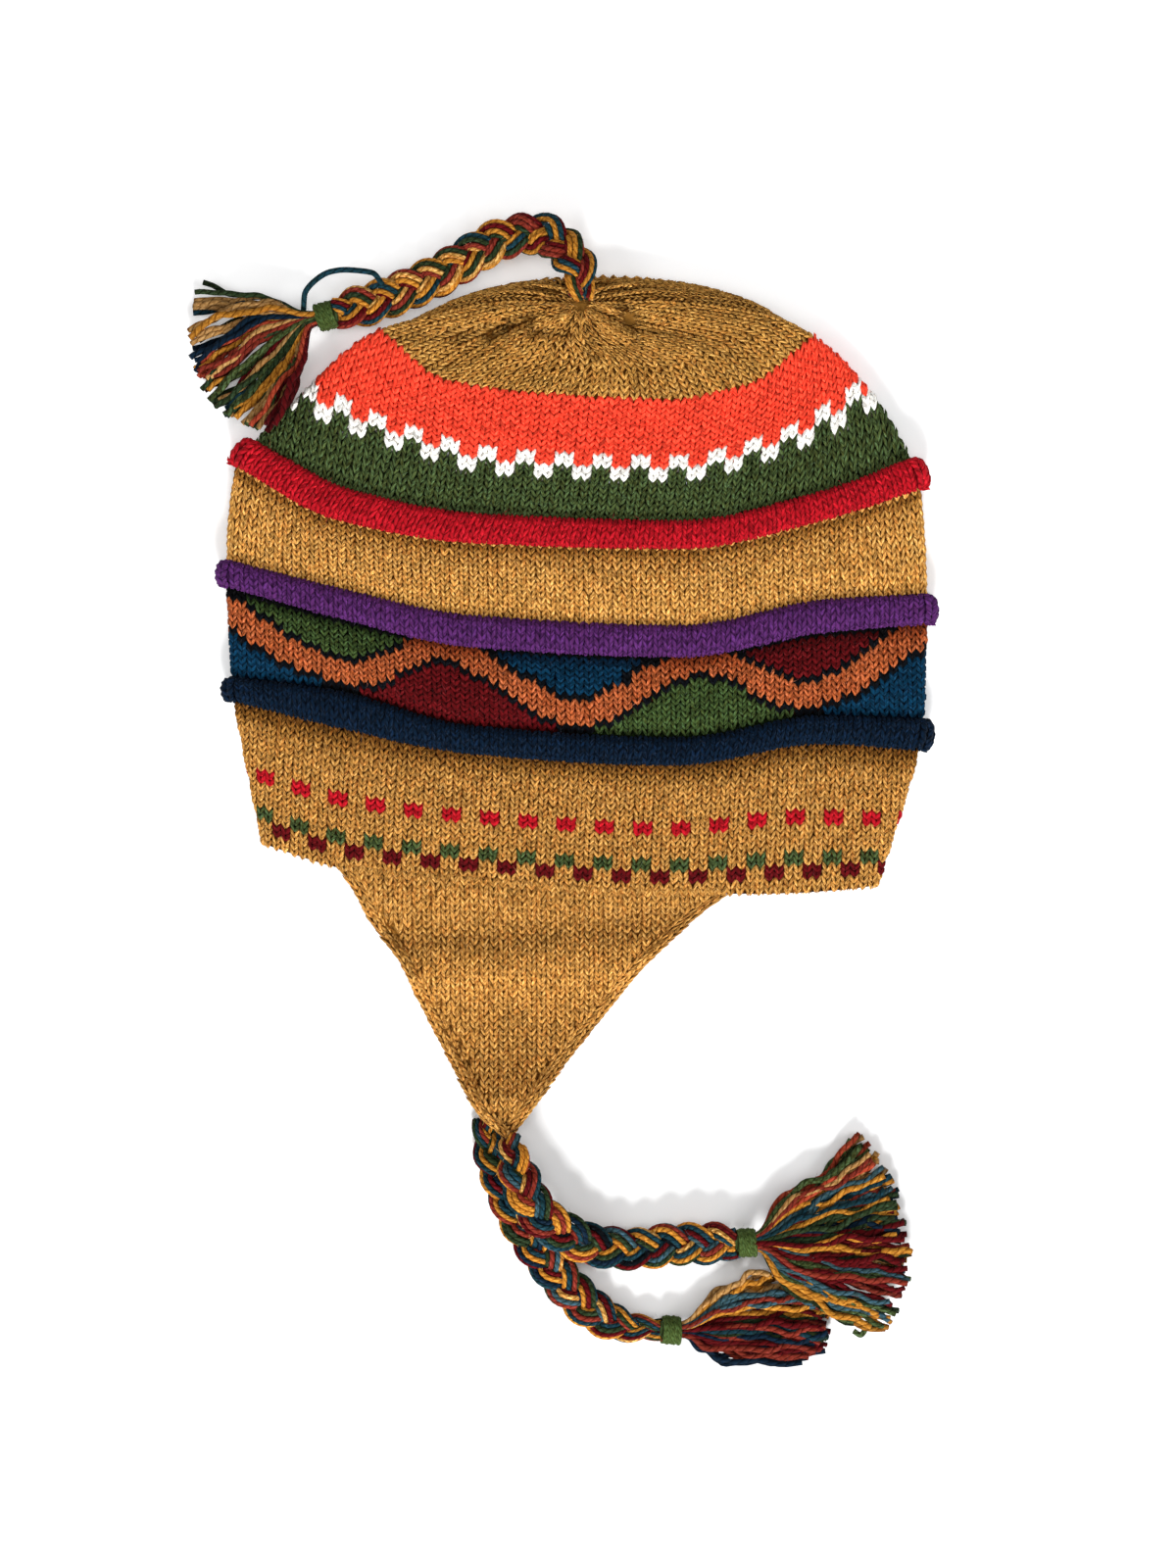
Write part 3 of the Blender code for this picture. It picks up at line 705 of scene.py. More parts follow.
def add_tubes(parts: MeshParts, paths: Array, radii: Array, sides: int, tones: Array,
              reference: Array = UP, turn: Array | None = None) -> None:
    """Add round yarns along paths, closed at both ends.

    Args:
        parts: What they are added to.
        paths: Points of each yarn: yarns, points, three values.
        radii: Radius at each point of each yarn.
        sides: Sides of the yarn's section.
        tones: Colour and heather share of each yarn.
        reference: A direction that no path runs along.
        turn: Extra start of the yarn coordinate of each yarn, in millimetres.
    """
    count, stops = paths.shape[:2]
    tangent = unit(np.gradient(paths, axis=1))
    side = unit(np.cross(np.broadcast_to(reference, tangent.shape), tangent))
    lift = np.cross(tangent, side)
    angles = tau * np.arange(sides) / sides + pi / 2
    ring = (side[:, :, None] * np.cos(angles)[None, None, :, None]
            + lift[:, :, None] * np.sin(angles)[None, None, :, None])
    points = paths[:, :, None] + ring * radii[:, :, None, None]
    steps = np.linalg.norm(np.diff(paths, axis=1), axis=2)
    along = np.concatenate((np.zeros((count, 1)), np.cumsum(steps, axis=1)), axis=1) * MILLIMETRES
    if turn is not None:
        along = along + turn[:, None]
    vertices = stops * sides
    starts = (np.arange(count) * vertices)[:, None]
    corners, places = grid_faces(stops, sides, True)
    uvs = np.empty((count, len(corners), 4, 2))
    uvs[..., 0] = places[..., 0] / sides
    uvs[..., 1] = along[:, places[..., 1].astype(int)]
    faces = [((corners + starts[:, :, None]).reshape(-1, 4), uvs.reshape(-1, 4, 2))]
    step = np.arange(sides)
    for from_start, order, place in ((0, step[::-1], along[:, :1]), (vertices - sides, step, along[:, -1:])):
        flat = np.zeros((count, sides, 2))
        flat[..., 1] = place
        faces.append((starts + from_start + order, flat))
    parts.add(points, np.repeat(tones[:, None], vertices, axis=1), faces)


@dataclass(frozen=True)
class Fuzz:
    """The haze of loose fibres that stands off wool."""

    shortest: float = 0.0015
    longest: float = 0.0045
    width: float = 0.00005
    stand: float = 0.55
    bend: float = 0.35
    # A fibre's colour: that of its root, times the first, plus the second
    lighter: tuple[float, float] = (1.15, 0.03)

    def grow(self, parts: MeshParts, roots: Array, out: Array, tones: Array, random: Random) -> None:
        """Add one bent fibre at each root, a narrow strip of two faces.

        Args:
            parts: What they are added to.
            roots: Where the fibres start.
            out: The way off the surface at each root.
            tones: Colour and heather share at each root.
            random: Source of their lengths and ways.
        """
        count = len(roots)
        loose = unit(random.normal(0.0, 1.0, (count, 3)))
        way = unit(loose + out * self.stand * random.uniform(0.4, 2.0, (count, 1)))
        length = random.uniform(self.shortest, self.longest, (count, 1))
        length = length * random.uniform(0.5, 1.0, (count, 1))
        bend = unit(random.normal(0.0, 1.0, (count, 3))) * length * self.bend
        middle = roots + way * length * 0.5 + bend * 0.5
        tip = roots + way * length + bend * random.uniform(0.0, 1.0, (count, 1))
        for stations in (middle, tip):
            stations[:, 2] = np.maximum(stations[:, 2], self.width)
        side = unit(np.cross(way, UP)) * self.width / 2
        points = np.stack((roots - side, roots + side, middle + side, middle - side, tip), axis=1)
        light = tones.copy()
        light[:, :3] = light[:, :3] * self.lighter[0] + self.lighter[1]
        base = np.arange(count)[:, None] * 5
        quads = base + np.array((0, 1, 2, 3))
        tips = base + np.array((3, 2, 4))
        parts.add(points, np.repeat(light[:, None], 5, axis=1),
                  [(quads, np.zeros((count, 4, 2))), (tips, np.zeros((count, 3, 2)))])


def set_values(node: Node, values: dict[str, object]) -> None:
    """Set plain values on a node's inputs, by name."""
    for name, value in values.items():
        node.inputs[name].default_value = value


class NodeBuilder:
    """Short ways to place and join shader nodes in one tree."""

    def __init__(self, tree: NodeTree) -> None:
        """Work on one node tree."""
        self.tree = tree

    def node(self, kind: str, **settings: object) -> Node:
        """Place a node and set its properties."""
        made = self.tree.nodes.new(kind)
        for name, value in settings.items():
            setattr(made, name, value)
        return made

    def join(self, source: Socket, target: Socket) -> None:
        """Join two sockets."""
        self.tree.links.new(source, target)

    def set(self, socket: Socket, value: object) -> None:
        """Give a socket a joined source or a plain value."""
        if isinstance(value, Socket):
            self.join(value, socket)
        else:
            socket.default_value = value

    def math(self, operation: str, *values: object) -> Socket:
        """Place a math node and return its result."""
        made = self.node("ShaderNodeMath", operation=operation)
        for socket, value in zip(made.inputs, values):
            self.set(socket, value)
        return made.outputs[0]

    def vector(self, x: object, y: object, z: object) -> Socket:
        """Join three values into a vector."""
        made = self.node("ShaderNodeCombineXYZ")
        for socket, value in zip(made.inputs, (x, y, z)):
            self.set(socket, value)
        return made.outputs[0]

    def noise(self, place: Socket, scale: float, detail: float) -> Socket:
        """Place a noise texture and return its grey value."""
        made = self.node("ShaderNodeTexNoise", noise_dimensions="3D")
        self.join(place, made.inputs["Vector"])
        set_values(made, {"Scale": scale, "Detail": detail})
        return made.outputs["Fac"]

    def ramp(self, value: object, low: float, high: float) -> Socket:
        """Map a value from low..high to 0..1."""
        made = self.node("ShaderNodeMapRange", clamp=True)
        self.set(made.inputs["Value"], value)
        set_values(made, {"From Min": low, "From Max": high})
        return made.outputs["Result"]

    def deepen(self, colour: Socket, gamma: float, level: float) -> Socket:
        """Darken a colour and keep its hue strong, as wool looks where little light reaches it."""
        made = self.node("ShaderNodeGamma")
        self.join(colour, made.inputs["Color"])
        set_values(made, {"Gamma": gamma})
        return self.tint(made.outputs["Color"], (level, level, level))

    def tint(self, colour: Socket, shares: Point) -> Socket:
        """Multiply a colour's red, green and blue."""
        return self.mix(1.0, colour, (*shares, 1.0), "MULTIPLY")

    def mix(self, share: object, first: object, second: object, mode: str = "MIX") -> Socket:
        """Mix two colours and return the result."""
        made = self.node("ShaderNodeMix", data_type="RGBA", blend_type=mode)
        self.set(made.inputs[0], share)
        self.set(made.inputs[6], first)
        self.set(made.inputs[7], second)
        return made.outputs[2]

    def yarn_place(self) -> tuple[Socket, Socket]:
        """The two yarn coordinates: across, and along in millimetres on a yarn."""
        yarn = self.node("ShaderNodeUVMap", uv_map=UV_NAME)
        parts = self.node("ShaderNodeSeparateXYZ")
        self.join(yarn.outputs["UV"], parts.inputs[0])
        return parts.outputs["X"], parts.outputs["Y"]

    def flecked_tone(self, heather: NodeTree) -> tuple[Node, Node]:
        """The mesh's own colours and the group that flecks them."""
        tone = self.node("ShaderNodeAttribute", attribute_name=TONE_NAME, attribute_type="GEOMETRY")
        flecks = self.node("ShaderNodeGroup", node_tree=heather)
        self.join(tone.outputs["Color"], flecks.inputs["Colour"])
        self.join(tone.outputs["Alpha"], flecks.inputs["Heather"])
        return tone, flecks

    def bump(self, height: Socket, strength: float, distance: float, shader: Node) -> None:
        """Place a bump node between a height and a shader."""
        made = self.node("ShaderNodeBump")
        set_values(made, {"Strength": strength, "Distance": distance})
        self.join(height, made.inputs["Height"])
        self.join(made.outputs["Normal"], shader.inputs["Normal"])


def start_material(name: str) -> tuple[Material, NodeBuilder, Node]:
    """A new material, a builder for its nodes, and its shader."""
    made = bpy.data.materials.new(name)
    made.use_nodes = True
    return made, NodeBuilder(made.node_tree), made.node_tree.nodes["Principled BSDF"]


def new_group(name: str, inputs: dict[str, str], outputs: dict[str, str]) -> tuple[NodeTree, NodeBuilder]:
    """Start a shader node group with named sockets.

    Args:
        name: Name of the group.
        inputs: Socket kind of each input, by name.
        outputs: Socket kind of each output, by name.

    Returns:
        The group and a builder for it.
    """
    tree = bpy.data.node_groups.new(name, "ShaderNodeTree")
    for label, kind in inputs.items():
        tree.interface.new_socket(name=label, in_out="INPUT", socket_type=kind)
    for label, kind in outputs.items():
        tree.interface.new_socket(name=label, in_out="OUTPUT", socket_type=kind)
    return tree, NodeBuilder(tree)


def heather_group() -> NodeTree:
    """Flecks of lighter, darker and warmer fibre in a dyed yarn, and specks of painted highlight where fibres
    catch the light.

    Returns:
        A group from a colour, a heather share and a share of painted highlight specks to the flecked colour.
    """
    tree, build = new_group("heather_flecks", {"Colour": "NodeSocketColor", "Heather": "NodeSocketFloat",
                                               "Highlight Specks": "NodeSocketFloat"}, {"Colour": "NodeSocketColor"})
    source = build.node("NodeGroupInput")
    result = build.node("NodeGroupOutput")
    across, along = build.yarn_place()
    around = build.math("MULTIPLY", across, tau)
    x = build.math("COSINE", around)
    y = build.math("SINE", around)

    def streaks(shortening: float, scale: float, detail: float) -> Socket:
        """Noise drawn out along the yarn."""
        return build.noise(build.vector(x, y, build.math("MULTIPLY", along, shortening)), scale, detail)

    fine = streaks(0.55, 1.35, 2.0)
    slow = streaks(0.21, 0.9, 1.0)
    # Spots of the painted highlight specks
    highlight_dots = streaks(0.8, 1.15, 1.0)
    colour = source.outputs["Colour"]
    heather = source.outputs["Heather"]
    light_share = build.math("MULTIPLY", build.ramp(fine, 0.53, 0.66), heather)
    dark_share = build.math("MULTIPLY", build.ramp(fine, 0.48, 0.34), heather)
    warm_share = build.math("MULTIPLY", build.ramp(slow, 0.52, 0.66), build.math("MULTIPLY", heather, 0.75))
    flecked = build.mix(warm_share, colour, build.tint(colour, (1.05, 0.72, 0.55)))
    flecked = build.mix(light_share, flecked, build.tint(colour, (1.68, 1.95, 2.80)))
    flecked = build.mix(build.math("MULTIPLY", dark_share, 0.85), flecked,
                        build.tint(colour, (0.38, 0.28, 0.14)))
    # Painted highlight: specks where fibres catch the light, the colour about doubled and a little grey added
    highlight_colour = build.mix(1.0, build.tint(flecked, (1.9, 2.0, 2.1)), (0.012, 0.012, 0.012, 1.0), "ADD")
    highlight_share = build.math("MULTIPLY", build.ramp(highlight_dots, 0.57, 0.68), source.outputs["Highlight Specks"])
    build.join(build.mix(highlight_share, flecked, highlight_colour), result.inputs["Colour"])
    return tree


def ply_group() -> NodeTree:
    """The ridges of two plies twisted together, with fine fibres over them.

    Returns:
        A group from a ply pitch in millimetres and a share of fibre to a height and a groove mask.
    """
    tree, build = new_group("twisted_plies", {"Pitch": "NodeSocketFloat", "Fibre": "NodeSocketFloat"},
                            {"Height": "NodeSocketFloat", "Groove": "NodeSocketFloat"})
    source = build.node("NodeGroupInput")
    result = build.node("NodeGroupOutput")
    across, along = build.yarn_place()
    advance = build.math("DIVIDE", along, source.outputs["Pitch"])
    phase = build.math("ADD", build.math("MULTIPLY", across, 2.0), advance)
    ridge = build.math("ABSOLUTE", build.math("COSINE", build.math("MULTIPLY", phase, pi)))
    ridge = build.math("POWER", ridge, 0.6)
    shear = build.math("MULTIPLY", phase, 3.0)
    fibre = build.noise(build.vector(shear, build.math("MULTIPLY", along, 0.7), 0.0), 2.4, 3.0)
    height = build.math("ADD", ridge, build.math("MULTIPLY", fibre, source.outputs["Fibre"]))
    build.join(height, result.inputs["Height"])
    build.join(build.ramp(ridge, 0.65, 0.15), result.inputs["Groove"])
    return tree


@dataclass(frozen=True)
class WoolFinish:
    """A wool yarn that takes its colour from the mesh."""

    name: str
    brightness: float = 1.0
    ply_pitch: float = 2.6
    ply_depth: float = 0.00022
    groove_shade: float = 0.62
    groove_depth: float = 1.35
    fibre: float = 0.7
    sheen: float = 0.012
    # Share of painted highlight specks where the fibres catch the light
    highlight_specks: float = 0.6
    roughness: float = 0.82

    def material(self, heather: NodeTree, plies: NodeTree) -> Material:
        """Make the material.

        Args:
            heather: The group of flecks.
            plies: The group of twisted plies.

        Returns:
            The finished material.
        """
        made, build, shader = start_material(self.name)
        _, flecks = build.flecked_tone(heather)
        twist = build.node("ShaderNodeGroup", node_tree=plies)
        set_values(flecks, {"Highlight Specks": self.highlight_specks})
        set_values(twist, {"Pitch": self.ply_pitch, "Fibre": self.fibre})
        lit = build.tint(flecks.outputs["Colour"], (self.brightness,) * 3)
        dark = build.deepen(lit, self.groove_depth, self.groove_shade)
        build.join(build.mix(twist.outputs["Groove"], lit, dark), shader.inputs["Base Color"])
        build.bump(twist.outputs["Height"], 0.8, self.ply_depth, shader)
        set_values(shader, {"Roughness": self.roughness, "Sheen Weight": self.sheen, "Sheen Roughness": 0.55,
                            "Specular IOR Level": 0.04})
        return made


@dataclass(frozen=True)
class ClothFinish:
    """The cloth behind the stitches, darkened with painted shade for the shade between them, with the purl
    bumps of the wrong side.
    """

    name: str
    # Painted shade between the stitches: the yarn's colour dimmed to these shares, most for heathered yarn
    plain_brightness: float = 0.72
    heathered_brightness: float = 0.34

    def material(self, heather: NodeTree) -> Material:
        """Make the material.

        Args:
            heather: The group of flecks.

        Returns:
            The finished material.
        """
        made, build, shader = start_material(self.name)
        tone, flecks = build.flecked_tone(heather)
        across, along = build.yarn_place()
        bump_x = build.math("SINE", build.math("MULTIPLY", across, tau))
        bump_y = build.math("SINE", build.math("MULTIPLY", along, tau))
        purl = build.math("MULTIPLY", bump_x, bump_y)
        deep = build.deepen(flecks.outputs["Colour"], 1.4, 1.0)
        level = build.mix(tone.outputs["Alpha"], (self.plain_brightness,) * 3 + (1.0,),
                          (self.heathered_brightness,) * 3 + (1.0,))
        dark = build.mix(1.0, deep, level, "MULTIPLY")
        # Painted shade in the hollows between the purl bumps: half as bright
        low = build.tint(dark, (0.5, 0.5, 0.5))
        build.join(build.mix(build.ramp(purl, -0.1, -0.8), dark, low), shader.inputs["Base Color"])
        build.bump(purl, 0.9, 0.0005, shader)
        set_values(shader, {"Roughness": 0.9, "Specular IOR Level": 0.05})
        return made


@dataclass
class Finishes:
    """Every material of the hat, made once."""

    knit: Material
    welt: Material
    cloth: Material
    braid: Material
    tassel: Material
    tie: Material

    @classmethod
    def make(cls) -> "Finishes":
        """Build the two node groups and the materials that use them."""
        heather = heather_group()
        plies = ply_group()
        wools = {
            "knit": WoolFinish("knitted_wool"),
            "welt": WoolFinish("rolled_wool", ply_pitch=2.4),
            "braid": WoolFinish("braided_wool", brightness=0.86, ply_pitch=2.4, ply_depth=0.0004, fibre=0.9),
            "tassel": WoolFinish("tassel_wool", brightness=0.76, ply_pitch=3.0, ply_depth=0.0005, fibre=0.6,
                                 highlight_specks=0.3),
            "tie": WoolFinish("wound_wool", ply_pitch=2.0, ply_depth=0.0002),
        }
        cloth = ClothFinish("cloth_behind_the_stitches").material(heather)
        return cls(cloth=cloth, **{part: wool.material(heather, plies) for part, wool in wools.items()})


@dataclass(frozen=True)
class Band:
    """Rows of the body that are knitted with one number of columns."""

    name: str
    first_row: float
    end_row: float
    columns: int
    # True where each column keeps a stitch as long as the others, and so has its own number of them
    even_length: bool = False
    # Width of a column on the upper layer where columns run over the folds, or 0 where they spread evenly
    pitch: float = 0.0
    # How far its columns are shifted round the hat, in columns
    shift: float = 0.0


@dataclass
class HatBody:
    """The knitted tube from the brim to the gathered top."""

    surface: HatSurface
    finishes: Finishes
    random: Random
    rows: int = 94
    body_columns: int = 148
    wave_middle: float = 33.4
    wave_height: float = 4.3
    wave_count: int = 6
    wave_half: float = 2.0
    outline: float = 0.9
    wave_top_row: int = 38
    # Column and number of waves from the left fold: troughs at the halves, crests at the whole numbers
    wave_knots: tuple[tuple[float, float], ...] = (
        (-7.5, 0.0), (12.1, 0.5), (23.4, 1.0), (37.1, 1.5), (50.1, 2.0), (61.5, 2.5), (75.0, 3.0),
        (87.0, 3.5), (99.0, 4.0), (111.0, 4.5), (123.0, 5.0), (132.0, 5.5), (140.5, 6.0), (160.0, 6.5),
    )
    fuzz_share: float = 0.16
    # Row at the lower edge of each welt, and how many rows its shade reaches down
    shades: tuple[tuple[float, float], ...] = ((21.6, 2.2), (38.6, 1.4), (55.3, 1.5))
    shade_strength: float = 0.62
    # How much darker a fold's crease and how much lighter its ridge looks, for each metre of its height
    crease_shade: float = 190.0
    ridge_light: float = 70.0
    # Plain rows: the first, the one past the last, and their yarn
    plain_rows: tuple[tuple[int, int, Yarn], ...] = (
        # The lower band: gold darkened with painted shade
        (0, 22, Yarn.FLAP_GOLD),
        (58, 68, Yarn.GREEN),
        (68, 79, Yarn.CORAL),
        # The gathered top: gold darkened with painted shade
        (79, 94, Yarn.CROWN_GOLD),
    )
    # Blocks two columns wide and two rows high: first row, shift in columns, True for every first pair of
    # columns and False for every second, yarn
    blocks: tuple[tuple[int, int, bool, Yarn], ...] = (
        (2, 3, True, Yarn.DARK_RED),
        (4, 3, False, Yarn.GREEN),
        (10, 1, True, Yarn.RED),
        (66, 0, True, Yarn.WHITE),
        (68, 0, False, Yarn.WHITE),
    )
    wave_rows: tuple[int, int] = (22, 41)
    bands: tuple[Band, ...] = (
        Band("lower_band", 0, 22, 148, pitch=0.0031, shift=0.5),
        Band("wave_band", 26, 39, 148, pitch=0.0031),
        Band("upper_band", 43, 56, 148, pitch=0.0031),
        Band("green_band", 59, 70, 148, pitch=0.0031, shift=-0.6),
        Band("coral_band", 70, 79, 116, pitch=0.0031, shift=-0.6),
        Band("crown_outer", 79, 83, 88, True),
        Band("crown_middle", 83, 87, 64, True),
        Band("crown_inner", 87, 90, 40, True),
        Band("crown_top", 90, 93, 22, True),
        Band("crown_middle_point", 93, 94, 12, True),
    )

    def chart(self, row: Array, column: Array, columns: int) -> Array:
        """The yarn number of each stitch, from the pattern of the hat.

        Args:
            row: Row number of each stitch.
            column: Column number of each stitch.
            columns: Columns round the hat at those rows.

        Returns:
            Yarn numbers.
        """
        row = np.floor(row)
        share = column / columns
        column = np.floor(column).astype(int)
        colour = np.full(row.shape, YARN_NUMBER[Yarn.GOLD])
        for first, past, yarn in self.plain_rows:
            colour[(row >= first) & (row < past)] = YARN_NUMBER[yarn]
        for first, shift, first_pair, yarn in self.blocks:
            block = ((column + shift) % 4 < 2) == first_pair
            colour[(row >= first) & (row < first + 2) & block] = YARN_NUMBER[yarn]
        wave = (row >= self.wave_rows[0]) & (row < self.wave_rows[1])
        colour[wave] = self.wave(row[wave], share[wave])
        return colour

    def wave(self, row: Array, share: Array) -> Array:
        """Yarn numbers of the band with the wave and its almond fields."""
        knots = np.array(self.wave_knots)
        column = share % 1.0 * self.body_columns
        turn = smooth_curve(knots[:, 0], knots[:, 1:], column)[:, 0]
        slope = self.wave_height * np.abs(np.sin(tau * turn)) * tau * self.wave_count / self.body_columns
        centre = self.wave_middle + self.wave_height * np.cos(tau * turn)
        above = row + 0.5 - centre
        band = self.wave_half * np.hypot(1.0, slope * 0.6)
        edge = band + self.outline * np.hypot(1.0, slope * 0.5)
        upper = np.array([YARN_NUMBER[yarn] for yarn in (Yarn.LENS_GREEN, Yarn.TEAL, Yarn.DARK_RED)])
        lower = np.array([YARN_NUMBER[yarn] for yarn in (Yarn.TEAL, Yarn.DARK_RED, Yarn.LENS_GREEN)])
        colour = np.where(above > 0, upper[np.floor(turn).astype(int) % 3],
                          lower[np.floor(turn + 0.5).astype(int) % 3])
        outlined = (np.abs(above) < edge) | (row >= self.wave_top_row)
        colour = np.where(outlined, YARN_NUMBER[Yarn.BLACK], colour)
        return np.where(np.abs(above) < band, YARN_NUMBER[Yarn.COPPER], colour)

    def band_stitches(self, band: Band) -> tuple[Frames, Array, Array]:
        """Place the stitches of a band.

        Args:
            band: The band.

        Returns:
            Their frames, colours and round shares.
        """
        def share_at(column: Array, row: Array) -> Array:
            """Round shares of the band's columns."""
            if band.pitch:
                return self.surface.share_of(row / self.rows, column + band.shift, band.columns, band.pitch)
            return column / band.columns

        def place(column: Array, row: Array) -> Array:
            """Points of the surface at the band's columns and rows."""
            return self.surface.at(row / self.rows, share_at(column, row))

        if band.even_length:
            rows, columns, pitch = self.even_places(band)
            frames = Frames.on(place, columns, rows)
            frames = Frames(frames.middle, frames.across, frames.up * pitch[:, None], frames.out)
        else:
            rows, columns = all_pairs(np.arange(band.first_row, band.end_row) + 0.5,
                                      np.arange(band.columns) + 0.5)
            frames = Frames.on(place, columns, rows)
        tones = self.tones(rows, columns, band.columns)
        folds = self.surface.folds(frames.middle[:, 0], frames.middle[:, 1])
        share = share_at(columns, rows)
        level = 1 + self.crease_shade * np.minimum(folds, 0.0) + self.ridge_light * np.maximum(folds, 0.0)
        tones[:, :3] *= np.where(share % 1.0 < 0.5, level, 1.0)[:, None]
        return frames, tones, share

    def tones(self, row: Array, column: Array, columns: int) -> Array:
        """Colours of stitches: the pattern's, darker in the shade under each welt."""
        tones = TONES[self.chart(row, column, columns)]
        for edge, reach in self.shades:
            under = np.where(row < edge, np.exp(-((edge - row) / reach) ** 2), 0.0)[:, None]
            tones[:, :3] = tones[:, :3] ** (1 + 0.3 * under) * (1 - self.shade_strength * under)
        return tones

    def even_places(self, band: Band) -> tuple[Array, Array, Array]:
        """Rows and columns of stitches that keep their length where the cloth turns over at the top.

        Args:
            band: The band.

        Returns:
            Row numbers, column numbers and how many row numbers each stitch takes.
        """
        height = NEAR_STITCH.row_height
        fine = np.linspace(band.first_row, band.end_row, 60)
        rows = []
        columns = []
        pitches = []
        for column in np.arange(band.columns) + 0.5:
            line = self.surface.at(fine / self.rows, np.full(fine.shape, column / band.columns))
            travelled = distances(line)
            count = max(1, round(travelled[-1] / height))
            stops = (np.arange(count) + 0.5) / count * travelled[-1]
            found = np.interp(stops, travelled, fine)
            slope = np.gradient(fine, travelled)
            rows.append(found)
            columns.append(np.full(count, column))
            pitches.append(np.interp(stops, travelled, slope) * travelled[-1] / count)
        return np.concatenate(rows), np.concatenate(columns), np.concatenate(pitches)

    def knit(self) -> None:
        """Knit every band, near and far layer, as one piece each for the body's main bands."""
        pieces: dict[str, MeshParts] = {}
        for band in self.bands:
            name = "crown_stitches" if band.name.startswith("crown") else band.name + "_stitches"
            parts = pieces.setdefault(name, MeshParts())
            frames, tones, share = self.band_stitches(band)
            near = share % 1.0 < 0.5
            NEAR_STITCH.knit(parts, frames.turned(near), tones[near], self.random)
            FAR_STITCH.knit(parts, frames.turned(~near), tones[~near], self.random)
            hairy = near & (self.random.random(len(near)) < self.fuzz_share)
            spread = self.random.uniform(-0.5, 0.5, (int(hairy.sum()), 1))
            Fuzz().grow(parts, frames.middle[hairy] + frames.across[hairy] * spread, frames.out[hairy],
                        tones[hairy], self.random)
        for name, parts in pieces.items():
            parts.build(name, self.finishes.knit, "gold_knit")

    def cloth(self) -> None:
        """The cloth behind the stitches: two walls, joined at the brim and closed at the top."""
        parts = MeshParts()
        columns = self.body_columns
        rims = []
        for rows, out, inwards in ((np.arange(self.rows), -CLOTH_DEPTH, False),
                                   (np.arange(0, self.rows - 4, 2), -KNIT_THICKNESS, True)):
            wall = self.wall(rows, columns, out)
            tones = self.wall_tones(rows, columns)
            corners, uvs = grid_faces(len(rows), columns, True)
            if inwards:
                corners = corners[:, ::-1]
                uvs = uvs[:, ::-1] * (1.0, 2.0)
            parts.add(wall, tones, [(corners, uvs)])
            self.close(parts, wall[-columns:], tones[-columns:], inwards)
            rims.append((wall[:columns], tones[:columns]))
        (outer, outer_tones), (inner, inner_tones) = rims
        parts.add(np.concatenate((inner, outer)), np.concatenate((inner_tones, outer_tones)),
                  [grid_faces(2, columns, True)])
        parts.build("hat_cloth", self.finishes.cloth, "gold_knit", "crown_shell")

    def wall(self, rows: Array, columns: int, out: float) -> Array:
        """Points of a wall of the cloth.

        Args:
            rows: Row numbers.
            columns: Points round.
            out: How far out of the surface it lies.

        Returns:
            Points, row after row.
        """
        row, column = all_pairs(rows.astype(float), np.arange(columns) + 0.0)
        row = row / self.rows
        share = column / columns
        step = 0.004
        out_way = self.surface.normals(np.clip(row, step, 1 - step), share, step)
        return self.surface.at(np.clip(row, 0.001, 0.999), share) + out_way * out

    def wall_tones(self, rows: Array, columns: int) -> Array:
        """Colours of a wall's points, each that of the stitch in front of it."""
        share = np.arange(columns) / columns
        found = []
        for row in rows.astype(float):
            column = share * columns
            for band in self.bands:
                if band.pitch and band.first_row <= row < band.end_row:
                    spots = np.arange(band.columns + 1) + 0.0
                    level = np.full(spots.shape, (row + 0.5) / self.rows)
                    known = self.surface.share_of(level, spots + band.shift, band.columns, band.pitch)
                    column = np.interp((share - known[0]) % 1.0 + known[0], known, spots)
            found.append(self.tones(np.full(columns, row + 0.01), column, columns))
        return np.concatenate(found)

    @staticmethod
    def close(parts: MeshParts, ring: Array, tones: Array, inwards: bool) -> None:
        """Close a wall's last ring with a fan of triangles."""
        count = len(ring)
        centre = ring.mean(axis=0, keepdims=True)
        step = np.arange(count)
        fan = np.stack((step, (step + 1) % count, np.full(count, count)), axis=1)
        if inwards:
            fan = fan[:, ::-1]
        parts.add(np.concatenate((ring, centre)), np.concatenate((tones, tones[:1])),
                  [(fan, np.zeros((count, 3, 2)))])


